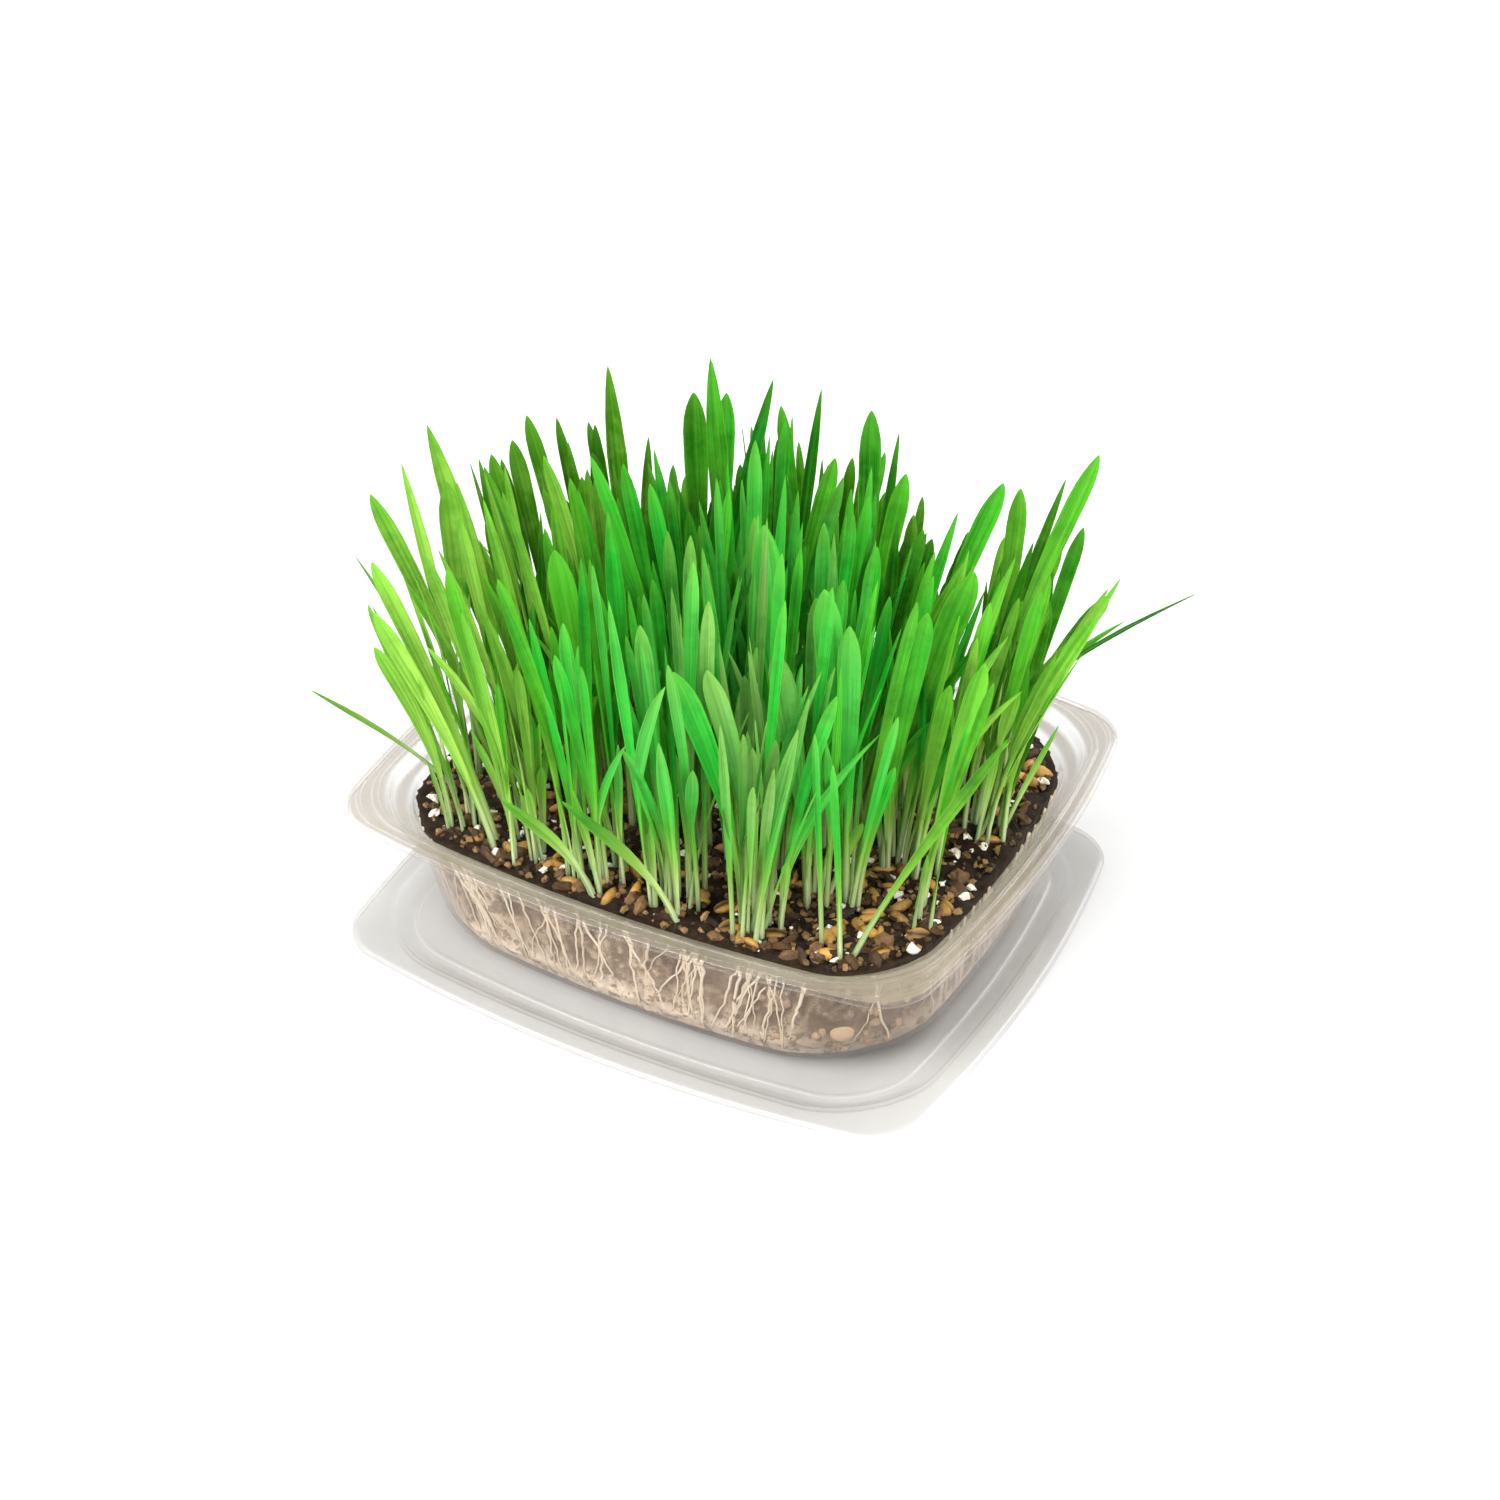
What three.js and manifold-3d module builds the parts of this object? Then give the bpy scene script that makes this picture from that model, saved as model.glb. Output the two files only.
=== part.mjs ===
// Wheatgrass growing in a clear thermoformed tub, which stands on its own lid as a saucer.
// Millimetres, +Z up. The origin is the middle of the lid's flat underside, X runs along the
// long side and -Y is the front.

import * as THREE from "three";
import { mergeVertices } from "three/addons/utils/BufferGeometryUtils.js";
import Module from "manifold-3d";

const wasm = await Module();
wasm.setup();

// ---------- driving dimensions ----------

// The flange that the tub and the lid share: a rounded rectangle with bowed sides.
const HALF_LENGTH = 93; // to the crest of a short side's bow
const HALF_WIDTH = 81; // to the crest of a long side's bow
const BOW_SHORT = 6.8; // how far a short side bows out
const BOW_LONG = 8.6; // how far a long side bows out
const CORNER = 11; // radius of the flange's corner tabs
const INNER_BOW = 0.8; // every outline inside the flange bows this much as far
const SHEET = 0.8; // plastic thickness
const GAP = 0.3; // between pieces that touch
const LIP = 1.2; // how far each flange's edge turns down below its sheet

const LID_RISE = 3.2; // the lid's flange above the table
const TUB_HEIGHT = 41.5;
const TUB_SHIFT = [-1.2, 5]; // the tub stands a little off the lid's middle
const SEAT_DEPTH = 4.6; // from the tub's rim down to the ledge that seats the lid
const FLOOR_FILLET = 7; // radius between the tub's wall and its floor

const SOIL_BELOW_RIM = 6;
const ROOT_RELIEF = 1.1; // depth of the grooves between the roots on the soil's sides
const ROOT_WAVES = 23; // root ridges round the soil

const TUFT_PITCH = 23.5; // between tufts in a row
const TUFT_ROW = 22.3; // between rows, every other one moved by half a pitch
const TUFT_ROWS = 6;
const TUFT_COLUMNS = 7;
const CROWN_RADIUS = 11.6; // the six-sided root crown that a tuft's shoots grow from
const CROWN_LEAST = 6.5; // a crown that the tub's wall would cut smaller than this is left out
const CORNER_DRAW = 0.96; // the four corner tufts stand this much nearer to the middle
const CORNER_CROWN = 8; // radius of their crowns at most
const CROWN_MARGIN = 1.5; // soil left between a crown and the tub's wall
const CROWN_DEPTH = 6;
const CROWN_PROUD = 0.5; // the crown's top above the soil
const CROWN_CLEAR = 1.4; // round a crown in the plain hole that it stands in
const STEM_MARGIN = 1.4; // from a stem's middle to the flat side of its crown
const BARE_CORNER = [80, -64]; // nothing sprouted round this corner
const BARE_RADIUS = 35;

const BLADES_PER_TUFT = 11;
const BLADE_TRIES = 30; // new draws before a blade that would cross another is given up
const BLADE_CLEAR = 1.5; // least distance between the middles of two blades' sheets
const STEM_WIDTH = 2.1;
const ROOT_SINK = 3.4; // how far a stem goes down into its crown
const TALLEST = 122; // the tallest a blade grows above the soil
const DRAWN_TALLEST = 113; // of the blades drawn at random, where they stand tallest
const TALL_Y = -12; // the row where they do
const CUT_STEP = 5; // height between the cuts at which blades are tested against each other

const GRAIN = [8.4, 3.8, 3.4]; // a grain's length, width and height
const LOOSE_GRAINS = 20; // at most this many lie on the soil between the tufts
const GRAIN_TRIES = 4000; // places drawn for them
const LOOSE_MARGIN = 4.5; // from a loose grain's middle to the tub's wall
const LOOSE_CLEAR = 6.5; // from a loose grain's middle to a crown

const SEED = 20440;

const TUB_FLOOR = SHEET + GAP;
const RIM = TUB_FLOOR + TUB_HEIGHT;
const SOIL_TOP = RIM - SOIL_BELOW_RIM;

// ---------- random draws ----------

// A seeded source of numbers from 0 to 1: 32-bit mixing, the same on every machine.
function randomSource(seed) {
  let state = seed >>> 0;
  return () => {
    state = (state + 0x6d2b79f5) >>> 0;
    let mixed = Math.imul(state ^ (state >>> 15), state | 1);
    mixed ^= mixed + Math.imul(mixed ^ (mixed >>> 7), mixed | 61);
    return ((mixed ^ (mixed >>> 14)) >>> 0) / 4294967296;
  };
}

// A draw from -1 to 1 that favours the middle.
function spread(random) {
  return random() + random() - 1;
}

// ---------- outlines and lofts ----------

// One closed outline: four quarter arcs joined by straight sides, each point then pushed out by
// a parabola along each side, so that the sides bow. Points run anticlockwise seen from above.
function outline({ inset, radius, bow = INNER_BOW }, arcSteps = 5, sideSteps = 5) {
  const bowX = BOW_SHORT * bow;
  const bowY = BOW_LONG * bow;
  const a = HALF_LENGTH - bowX - inset;
  const b = HALF_WIDTH - bowY - inset;
  const arcs = [];
  for (let corner = 0; corner < 4; corner += 1) {
    const signX = corner === 0 || corner === 3 ? 1 : -1;
    const signY = corner < 2 ? 1 : -1;
    for (let i = 0; i <= arcSteps; i += 1) {
      const angle = (corner + i / arcSteps) * (Math.PI / 2);
      const x = signX * (a - radius) + radius * Math.cos(angle);
      const y = signY * (b - radius) + radius * Math.sin(angle);
      arcs.push([x, y]);
    }
  }
  const plain = [];
  arcs.forEach(([x, y], i) => {
    plain.push([x, y]);
    if ((i + 1) % (arcSteps + 1) !== 0) return;
    const [nextX, nextY] = arcs[(i + 1) % arcs.length];
    for (let k = 1; k < sideSteps; k += 1) {
      plain.push([x + ((nextX - x) * k) / sideSteps, y + ((nextY - y) * k) / sideSteps]);
    }
  });
  return plain.map(([x, y]) => [
    x + bowX * (x / a) * (1 - (y / b) ** 2),
    y + bowY * (y / b) * (1 - (x / a) ** 2),
  ]);
}

function middleOf(ring) {
  return [0, 1, 2].map((axis) => ring.reduce((sum, point) => sum + point[axis], 0) / ring.length);
}

// A closed surface through rings of points that run anticlockwise and all have the same count. A
// fan that faces down closes the first ring; one that faces up closes the last, drawn to the apex.
function loft(rings, apex = middleOf(rings[rings.length - 1])) {
  const count = rings[0].length;
  const points = rings.flat();
  const index = [];
  for (let first = 0; first < (rings.length - 1) * count; first += count) {
    for (let j = 0; j < count; j += 1) {
      const a = first + j;
      const b = first + ((j + 1) % count);
      index.push(a, b, b + count, a, b + count, a + count);
    }
  }
  const lowest = points.push(middleOf(rings[0])) - 1;
  const highest = points.push(apex) - 1;
  const lastRing = (rings.length - 1) * count;
  for (let j = 0; j < count; j += 1) {
    const next = (j + 1) % count;
    index.push(next, j, lowest);
    index.push(lastRing + j, lastRing + next, highest);
  }
  const geometry = new THREE.BufferGeometry();
  geometry.setAttribute("position", new THREE.Float32BufferAttribute(points.flat(), 3));
  geometry.setIndex(index);
  return geometry;
}

// A sheet formed over stations, each an outline at a height.
function formed(stations) {
  return loft(stations.map((s) => outline(s).map(([x, y]) => [x, y, s.z])));
}

// ---------- solids ----------

function toSolid(geometry) {
  const bare = geometry.clone();
  bare.deleteAttribute("normal");
  bare.deleteAttribute("uv");
  const merged = mergeVertices(bare, 1e-4);
  const vertProperties = merged.attributes.position.array;
  const triVerts = new Uint32Array(merged.index.array);
  return new wasm.Manifold(new wasm.Mesh({ numProp: 3, vertProperties, triVerts }));
}

function toGeometry(solid) {
  const { vertProperties, triVerts } = solid.getMesh();
  const geometry = new THREE.BufferGeometry();
  geometry.setAttribute("position", new THREE.BufferAttribute(vertProperties, 3));
  geometry.setIndex(new THREE.BufferAttribute(triVerts, 1));
  geometry.computeVertexNormals();
  return geometry;
}

function joined(geometries) {
  return geometries.map(toSolid).reduce((whole, solid) => whole.add(solid));
}

// ---------- the lid and the tub ----------

// The lid lies flange up: a flat floor, a gentle slope, a small upright step and the flange, whose
// edge turns down. The stations go up its underside, over the edge and back down inside.
function lidGeometry() {
  const under = LID_RISE - SHEET;
  return formed([
    { inset: 10.8, radius: 19, z: 0 },
    { inset: 6.5, radius: 24, z: 1.45 },
    { inset: 5.6, radius: 25, z: under },
    { inset: SHEET, radius: CORNER - SHEET, bow: 1, z: under },
    { inset: SHEET, radius: CORNER - SHEET, bow: 1, z: under - LIP },
    { inset: 0, radius: CORNER, bow: 1, z: under - LIP },
    { inset: 0, radius: CORNER, bow: 1, z: LID_RISE },
    { inset: 6.3, radius: 25, z: LID_RISE },
    { inset: 7.1, radius: 24, z: 2.3 },
    { inset: 10.6, radius: 19, z: SHEET },
  ]);
}

// The tub, from its own floor: a rounded floor edge, a wall whose corners get rounder on the way
// down, a ledge, an upright seat above it and the flange, whose edge turns down.
function tubGeometry() {
  const top = TUB_HEIGHT;
  const half = FLOOR_FILLET * (1 - Math.SQRT1_2);
  return formed([
    { inset: 13.4 + FLOOR_FILLET, radius: 27, z: 0 },
    { inset: 13.4 + half, radius: 29, z: half },
    { inset: 13.4, radius: 29.5, z: FLOOR_FILLET },
    { inset: 10.3, radius: 24, z: top - SEAT_DEPTH - SHEET },
    { inset: 7.2, radius: 22.5, z: top - SEAT_DEPTH - SHEET / 2 },
    { inset: 6.4, radius: 22, z: top - SHEET },
    { inset: SHEET, radius: CORNER - SHEET, bow: 1, z: top - SHEET },
    { inset: SHEET, radius: CORNER - SHEET, bow: 1, z: top - SHEET - LIP },
    { inset: 0, radius: CORNER, bow: 1, z: top - SHEET - LIP },
    { inset: 0, radius: CORNER, bow: 1, z: top },
    { inset: 7.2, radius: 21.2, z: top },
    { inset: 8, radius: 21.7, z: top - SEAT_DEPTH + SHEET / 2 },
    { inset: 11.1, radius: 23.2, z: top - SEAT_DEPTH },
    { inset: 14.2, radius: 28.7, z: FLOOR_FILLET },
    { inset: 14.2 + half, radius: 28.2, z: half + SHEET / 2 },
    { inset: 13.4 + FLOOR_FILLET, radius: 26.5, z: SHEET },
  ]);
}

// ---------- the soil ----------

// How far the soil's side draws back from the tub's wall between two roots, for a place round the
// soil from 0 to 1 and a height: two waves that wander as they go down.
function rootGroove(around, z) {
  const turn = 2 * Math.PI * around;
  const wander = 0.35 * Math.sin(z / 6 + 5 * turn);
  const wave = Math.sin(ROOT_WAVES * turn + wander) + Math.sin((ROOT_WAVES + 8) * turn - wander);
  return ROOT_RELIEF * (0.5 + wave / 4);
}

function soilGeometry() {
  const half = FLOOR_FILLET * (1 - Math.SQRT1_2);
  const floor = SHEET + GAP;
  const wallTop = SOIL_TOP - TUB_FLOOR;
  const stations = [
    { inset: 14.2 + FLOOR_FILLET + GAP, radius: 25.5, z: floor },
    { inset: 14.2 + half + GAP + 0.1, radius: 27.9, z: half + SHEET / 2 + GAP },
    { inset: 14.2 + GAP, radius: 28.4, z: FLOOR_FILLET },
    { inset: 12.9 + GAP, radius: 26, z: FLOOR_FILLET + 13 },
    { inset: 11.3 + GAP, radius: 23.4, z: wallTop },
  ];
  const rings = stations.map((station) => {
    const points = outline(station, 10, 12);
    return points.map(([x, y], i) => {
      const groove = rootGroove(i / points.length, station.z);
      const reach = Math.hypot(x, y);
      const keep = (reach - groove) / reach;
      return [x * keep, y * keep, station.z];
    });
  });
  return loft(rings);
}

// ---------- the grass ----------

// A blade's rings, as shares of its length; its tip is at 1.
const ROUND_LEVELS = [0, 0.42, 0.8, 0.95];
const POINTED_LEVELS = [0, 0.42, 0.78];
const ROUND_SHOULDER = 0.88; // where a round-tipped blade starts to close
const POINTED_SHOULDER = 0.64;

// The blades that stand out from the rest, each with a place on the soil, the way its tip leans in
// x and in y, its height, its width, how late it bends and whether its tip is round.
const OUTER_BLADES = [
  [68, 55, 41, -4, 66, 4.2, 1.5, false],
  [57, 40, 29, 7, 61, 5.6, 1.2, true],
  [-54, -40, -32, -3, 89, 6, 1.4, true],
  [-65, -37, -10, -6, 101, 4.2, 1.6, false],
  [-71, -47, -26, -16, 36, 4.6, 1.3, false],
  [-46, -62, -28, 1, 66, 6, 1.4, true],
  [-43, -57, -35, 2, 77, 5.6, 1.3, true],
  [-66, -16, -12, -11, 104, 7, 1.5, false],
  [-61, -33, -9, 2, 91, 6.6, 1.3, true],
  [-65, -5, -17, 5, 81, 4, 1.3, false],
  [-67, 7, -20, 6, 75, 5, 1.3, true],
  [-68, 14, -13, 1, 80, 5.4, 1.4, true],
  [-56, 14, -23, 6, 86, 5.2, 1.3, true],
  [-60, 24, -9, 1, 78, 4.6, 1.3, false],
  [-61, 31, -4, 2, 81, 6.6, 1.4, false],
  [-42, 15, -9, 4, 108, 6.6, 1.4, false],
  [-55, 45, -1, 2, 73, 4.2, 1.4, false],
  [-32, 35, -4, 4, 95, 7, 1.4, true],
  [-23, 27, -3, 4, 111, 6.8, 1.5, false],
  [-29, 41, 0, 4, 94, 6, 1.5, true],
  [-32, 33, 22, 4, 106, 5, 1.2, false],
  [-4, 45, -9, 2, 93, 4.4, 1.3, true],
  [-6, 37, 9, 3, 105, 3.8, 1.3, false],
  [0, 23, 15, 2, 94, 5.4, 1.4, true],
  [21, 35, -3, 5, 102, 6.2, 1.6, true],
  [22, 42, 2, 3, 95, 3.4, 1.4, false],
  [19, 31, 13, 2, 90, 5.6, 1.3, true],
  [31, 19, 12, 2, 82, 4.8, 1.4, true],
  [36, 31, 22, 6, 92, 6.4, 1.5, true],
  [57, 45, 2, 2, 86, 5.4, 1.3, true],
  [52, 48, 18, 3, 90, 3.6, 1.3, false],
  [56, 33, 27, 5, 106, 6, 1.4, true],
  [67, 42, 14, -5, 85, 4.2, 1.3, true],
  [71, 33, 4, -2, 65, 5.4, 1.3, true],
  [-22, -38, -3, -11, 92, 7, 1.5, true],
  [-15, -33, -3, -2, 98, 5.6, 1.6, false],
  [30, -52, -13, -11, 77, 6.4, 1.8, true],
  [32, -49, -9, -8, 76, 6.2, 1.8, true],
  [29, -23, -7, -4, 101, 7.2, 1.7, true],
  [42, -43, -4, -7, 82, 6.6, 1.7, true],
  [47, -31, -4, -4, 93, 7.4, 1.6, true],
  [51, -35, 0, -2, 86, 6, 1.5, true],
  [53, -18, 11, -3, 85, 6.4, 1.6, true],
  [48, -13, 23, 3, 93, 8, 1.5, true],
  [69, -24, 10, 5, 74, 5.8, 1.4, true],
  [75, -55, 18, 20, 66, 5.4, 1.2, false],
  [21, -69, -29, -8, 39, 6.2, 1.6, false],
  [-5, -71, -20, -8, 35, 6.2, 1.6, false],
];

// Where the grass stands lower: each place's x and y, how far it reaches, and the share of the
// height lost in its middle.
const VALLEYS = [
  [-30, 15, 17, 0.21],
  [-45, 50, 19, 0.22],
  [9, 33, 17, 0.2],
  [33, 50, 22, 0.3],
  [-56, 10, 18, 0.17],
  [-54, -24, 12, 0.16],
  [43, 11, 12, 0.13],
];

// Distance from a point of the soil to the soil's edge; negative outside it.
const soilEdge = outline({ inset: 11.3 + GAP, radius: 23.4 });

function edgeDistance(x, y) {
  let least = Infinity;
  soilEdge.forEach(([ax, ay], i) => {
    const [bx, by] = soilEdge[(i + 1) % soilEdge.length];
    const length = Math.hypot(bx - ax, by - ay);
    least = Math.min(least, ((bx - ax) * (y - ay) - (by - ay) * (x - ax)) / length);
  });
  return least;
}

// Tufts stand in staggered rows; one too near the tub's wall gets a smaller crown.
function tuftPlaces() {
  const places = [];
  for (let row = 0; row < TUFT_ROWS; row += 1) {
    const staggered = row % 2;
    for (let column = 0; column < TUFT_COLUMNS - 1 + staggered; column += 1) {
      const outermost = column === 0 || column === TUFT_COLUMNS - 2 + staggered;
      const corner = outermost && (row === 0 || row === TUFT_ROWS - 1);
      const draw = corner ? CORNER_DRAW : 1;
      const x = (column - (TUFT_COLUMNS - 2 + staggered) / 2) * TUFT_PITCH * draw;
      const y = (row - (TUFT_ROWS - 1) / 2) * TUFT_ROW * draw;
      const most = corner ? CORNER_CROWN : CROWN_RADIUS;
      const radius = Math.min(most, edgeDistance(x, y) - CROWN_MARGIN);
      const reach = radius * Math.cos(Math.PI / 6) - STEM_MARGIN;
      if (radius >= CROWN_LEAST) places.push({ x, y, radius, reach, blades: [] });
    }
  }
  return places;
}

function bladeLevels(blade) {
  return blade.shoulder === ROUND_SHOULDER ? ROUND_LEVELS : POINTED_LEVELS;
}

// A blade's width at a share t of its length: a stem, a smooth widening, then a rounded or
// drawn-out tip that starts at the blade's shoulder.
function bladeWidth(blade, t) {
  const rise = Math.min(Math.max((t - 0.28) / 0.46, 0), 1);
  const broad = STEM_WIDTH + (blade.width - STEM_WIDTH) * rise * rise * (3 - 2 * rise);
  const close = Math.max((t - blade.shoulder) / (1 - blade.shoulder), 0);
  return broad * (1 - close * close) ** 0.75;
}

// The middle line bends outwards: its sideways travel is the lean times a power of t.
function bladeCentre(blade, t) {
  const away = t ** blade.bend;
  return [
    blade.x + blade.leanX * away,
    blade.y + blade.leanY * away,
    SOIL_TOP - ROOT_SINK + (blade.height + ROOT_SINK) * t,
  ];
}

// The direction across the blade, which turns slowly on the way up.
function bladeAcross(blade, t) {
  const angle = blade.turn + blade.twist * t;
  return [Math.cos(angle), Math.sin(angle)];
}

// The blade's two edges where it is cut at the test heights, as [ax, ay, bx, by], or null where
// the blade doesn't reach. Between its levels a blade is flat, as its solid is.
function bladeCuts(blade) {
  const levels = [...bladeLevels(blade), 1];
  const edges = levels.map((t) => {
    const [x, y] = bladeCentre(blade, t);
    const [ux, uy] = bladeAcross(blade, t);
    const half = bladeWidth(blade, t) / 2;
    return [x - ux * half, y - uy * half, x + ux * half, y + uy * half];
  });
  const cuts = [];
  for (let height = 0; height <= TALLEST + CUT_STEP; height += CUT_STEP) {
    const t = (height + ROOT_SINK) / (blade.height + ROOT_SINK);
    const upper = levels.findIndex((level) => level >= t);
    if (upper < 1) {
      cuts.push(null);
    } else {
      const share = (t - levels[upper - 1]) / (levels[upper] - levels[upper - 1]);
      cuts.push(edges[upper].map((v, k) => edges[upper - 1][k] + (v - edges[upper - 1][k]) * share));
    }
  }
  return cuts;
}

function pointToSegment(px, py, ax, ay, bx, by) {
  const dx = bx - ax;
  const dy = by - ay;
  const along = ((px - ax) * dx + (py - ay) * dy) / (dx * dx + dy * dy + 1e-12);
  const t = Math.min(Math.max(along, 0), 1);
  return Math.hypot(px - ax - dx * t, py - ay - dy * t);
}

function segmentDistance([ax, ay, bx, by], [cx, cy, dx, dy]) {
  const side = (px, py, qx, qy, rx, ry) => (qx - px) * (ry - py) - (qy - py) * (rx - px);
  const crossing =
    side(ax, ay, bx, by, cx, cy) * side(ax, ay, bx, by, dx, dy) < 0 &&
    side(cx, cy, dx, dy, ax, ay) * side(cx, cy, dx, dy, bx, by) < 0;
  if (crossing) return 0;
  return Math.min(
    pointToSegment(ax, ay, cx, cy, dx, dy),
    pointToSegment(bx, by, cx, cy, dx, dy),
    pointToSegment(cx, cy, ax, ay, bx, by),
    pointToSegment(dx, dy, ax, ay, bx, by),
  );
}

function isClear(cuts, others) {
  return others.every((other) =>
    cuts.every((cut, k) => {
      if (!cut || !other[k]) return true;
      return segmentDistance(cut, other[k]) >= BLADE_CLEAR;
    }),
  );
}

// The share of the greatest height that the grass reaches at a place: it falls away towards the
// tub's sides and in the valleys.
function standing(x, y) {
  const dome = 1 - 0.2 * (x / 75) ** 2 - 0.17 * ((y - TALL_Y) / 60) ** 2;
  return VALLEYS.reduce((share, [valleyX, valleyY, radius, drop]) => {
    const away = ((x - valleyX) ** 2 + (y - valleyY) ** 2) / (radius * radius);
    return share * (1 - drop * Math.exp(-away));
  }, dome);
}

// A blade drawn at random for a root: it leans outwards with its distance from the middle.
function drawBlade(random, x, y) {
  const height = DRAWN_TALLEST * standing(x, y) * (0.5 + 0.5 * Math.sqrt(random()));
  return {
    x,
    y,
    height,
    leanX: height * (0.2 * (x / 70) + 0.13 * spread(random)),
    leanY: height * (0.09 * ((y - 10) / 60) + 0.11 * spread(random)),
    bend: 1.1 + 0.9 * random(),
    width: 3.5 + 2.9 * random(),
    shoulder: random() < 0.65 ? ROUND_SHOULDER : POINTED_SHOULDER,
    turn: 0.4 + 1.3 * spread(random),
    twist: 0.9 * spread(random),
  };
}

// One of the outer blades. Its tip stays where its row puts it when its root is drawn in to the
// tuft that it grows from.
function outerBlade(random, tuft, [x, y, leanX, leanY, height, width, bend, round]) {
  const away = Math.hypot(x - tuft.x, y - tuft.y);
  const keep = Math.min(1, tuft.reach / Math.max(away, 1e-9));
  const rootX = tuft.x + (x - tuft.x) * keep;
  const rootY = tuft.y + (y - tuft.y) * keep;
  return {
    x: rootX,
    y: rootY,
    height,
    leanX: x + leanX - rootX,
    leanY: y + leanY - rootY,
    bend,
    width,
    shoulder: round ? ROUND_SHOULDER : POINTED_SHOULDER,
    turn: 0.5 + 0.8 * spread(random),
    twist: 0.5 * spread(random),
  };
}

// The shoots of every tuft. A blade that would come too near another is drawn again.
function growTufts() {
  const random = randomSource(SEED);
  const grown = [];
  const tufts = tuftPlaces();
  const grow = (tuft, draw) => {
    for (let attempt = 0; attempt < BLADE_TRIES; attempt += 1) {
      const blade = draw();
      const cuts = bladeCuts(blade);
      if (isClear(cuts, grown)) {
        grown.push(cuts);
        tuft.blades.push(blade);
        return;
      }
    }
  };
  OUTER_BLADES.forEach((row) => {
    const away = (tuft) => Math.hypot(row[0] - tuft.x, row[1] - tuft.y);
    const nearest = tufts.reduce((best, tuft) => (away(tuft) < away(best) ? tuft : best));
    grow(nearest, () => outerBlade(random, nearest, row));
  });
  tufts.forEach((tuft) => {
    const phase = 2 * Math.PI * random();
    const count = Math.round(BLADES_PER_TUFT * (tuft.radius / CROWN_RADIUS) ** 2) - tuft.blades.length;
    for (let i = 0; i < count; i += 1) {
      const out = tuft.reach * Math.sqrt((i + 0.5) / count);
      const angle = phase + i * Math.PI * (3 - Math.sqrt(5));
      const x = tuft.x + out * Math.cos(angle);
      const y = tuft.y + out * Math.sin(angle);
      const bare = Math.hypot(x - BARE_CORNER[0], y - BARE_CORNER[1]) < BARE_RADIUS;
      if (!bare) grow(tuft, () => drawBlade(random, x, y));
    }
  });
  return tufts.filter((tuft) => tuft.blades.length > 0);
}

// A blade's solid: three-sided rings, flat in front with a keel behind, drawn to a tip.
function bladeGeometry(blade) {
  const rings = bladeLevels(blade).map((t) => {
    const [x, y, z] = bladeCentre(blade, t);
    const [ux, uy] = bladeAcross(blade, t);
    const half = bladeWidth(blade, t) / 2;
    const keel = 1.5 - 0.5 * t;
    const front = -keel / 3;
    const back = (2 * keel) / 3;
    return [
      [x - ux * half - uy * front, y - uy * half + ux * front, z],
      [x + ux * half - uy * front, y + uy * half + ux * front, z],
      [x - uy * back, y + ux * back, z],
    ];
  });
  return loft(rings, bladeCentre(blade, 1));
}

function crownGeometry({ x, y, radius }, extra, depth, proud) {
  const height = depth + proud;
  const crown = new THREE.CylinderGeometry(radius + extra, radius + extra, height, 6);
  crown.rotateX(Math.PI / 2);
  crown.translate(x, y, SOIL_TOP + proud - height / 2);
  return crown;
}

// A grain lying half sunk in what is under it.
function grainGeometry(x, y, z, turn) {
  const grain = new THREE.SphereGeometry(0.5, 5, 3);
  grain.rotateZ(Math.PI / 2);
  grain.scale(...GRAIN);
  grain.rotateZ(turn);
  grain.translate(x, y, z);
  return grain;
}

// A tuft: its crown, its blades and the sprouted grain that lies on it.
function tuftGeometry(tuft, random) {
  const turn = 2 * Math.PI * random();
  const out = (tuft.reach - GRAIN[0] / 2 + 1) * Math.sqrt(random());
  const angle = 2 * Math.PI * random();
  const x = tuft.x + out * Math.cos(angle);
  const y = tuft.y + out * Math.sin(angle);
  const crown = crownGeometry(tuft, 0, CROWN_DEPTH, CROWN_PROUD);
  const grain = grainGeometry(x, y, SOIL_TOP + CROWN_PROUD + 0.6, turn);
  return toGeometry(joined([crown, ...tuft.blades.map(bladeGeometry), grain]));
}

// Loose grains fill the soil that no tuft covers.
function looseGrains(tufts) {
  const random = randomSource(SEED + 2);
  const places = [];
  for (let attempt = 0; attempt < GRAIN_TRIES && places.length < LOOSE_GRAINS; attempt += 1) {
    const x = (2 * random() - 1) * HALF_LENGTH;
    const y = (2 * random() - 1) * HALF_WIDTH;
    const turn = 2 * Math.PI * random();
    const off = (other, least) => Math.hypot(x - other[0], y - other[1]) >= least;
    const free =
      edgeDistance(x, y) >= LOOSE_MARGIN &&
      tufts.every((tuft) => off([tuft.x, tuft.y], tuft.radius + LOOSE_CLEAR)) &&
      places.every((place) => off(place, GRAIN[0] + 0.6));
    if (free) places.push([x, y, turn]);
  }
  return places.map(([x, y, turn]) => grainGeometry(x, y, SOIL_TOP + 0.6, turn));
}

// ---------- the scene ----------

const plastic = { color: 0xdfe4e6, roughness: 0.12, metalness: 0, transparent: true, opacity: 0.3 };
const clearPlastic = new THREE.MeshStandardMaterial(plastic);
const soilMix = new THREE.MeshStandardMaterial({ color: 0x2b1d14, roughness: 0.95, metalness: 0 });
const freshGreen = new THREE.MeshStandardMaterial({ color: 0x4f9a2c, roughness: 0.5, metalness: 0 });

function named(name, geometry, material) {
  const mesh = new THREE.Mesh(geometry, material);
  mesh.name = name;
  return mesh;
}

const wheatgrassTray = new THREE.Group();
wheatgrassTray.add(named("lid", lidGeometry(), clearPlastic));

const tubGroup = new THREE.Group();
tubGroup.position.set(TUB_SHIFT[0], TUB_SHIFT[1], TUB_FLOOR);
tubGroup.add(named("tub", tubGeometry(), clearPlastic));
wheatgrassTray.add(tubGroup);

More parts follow.
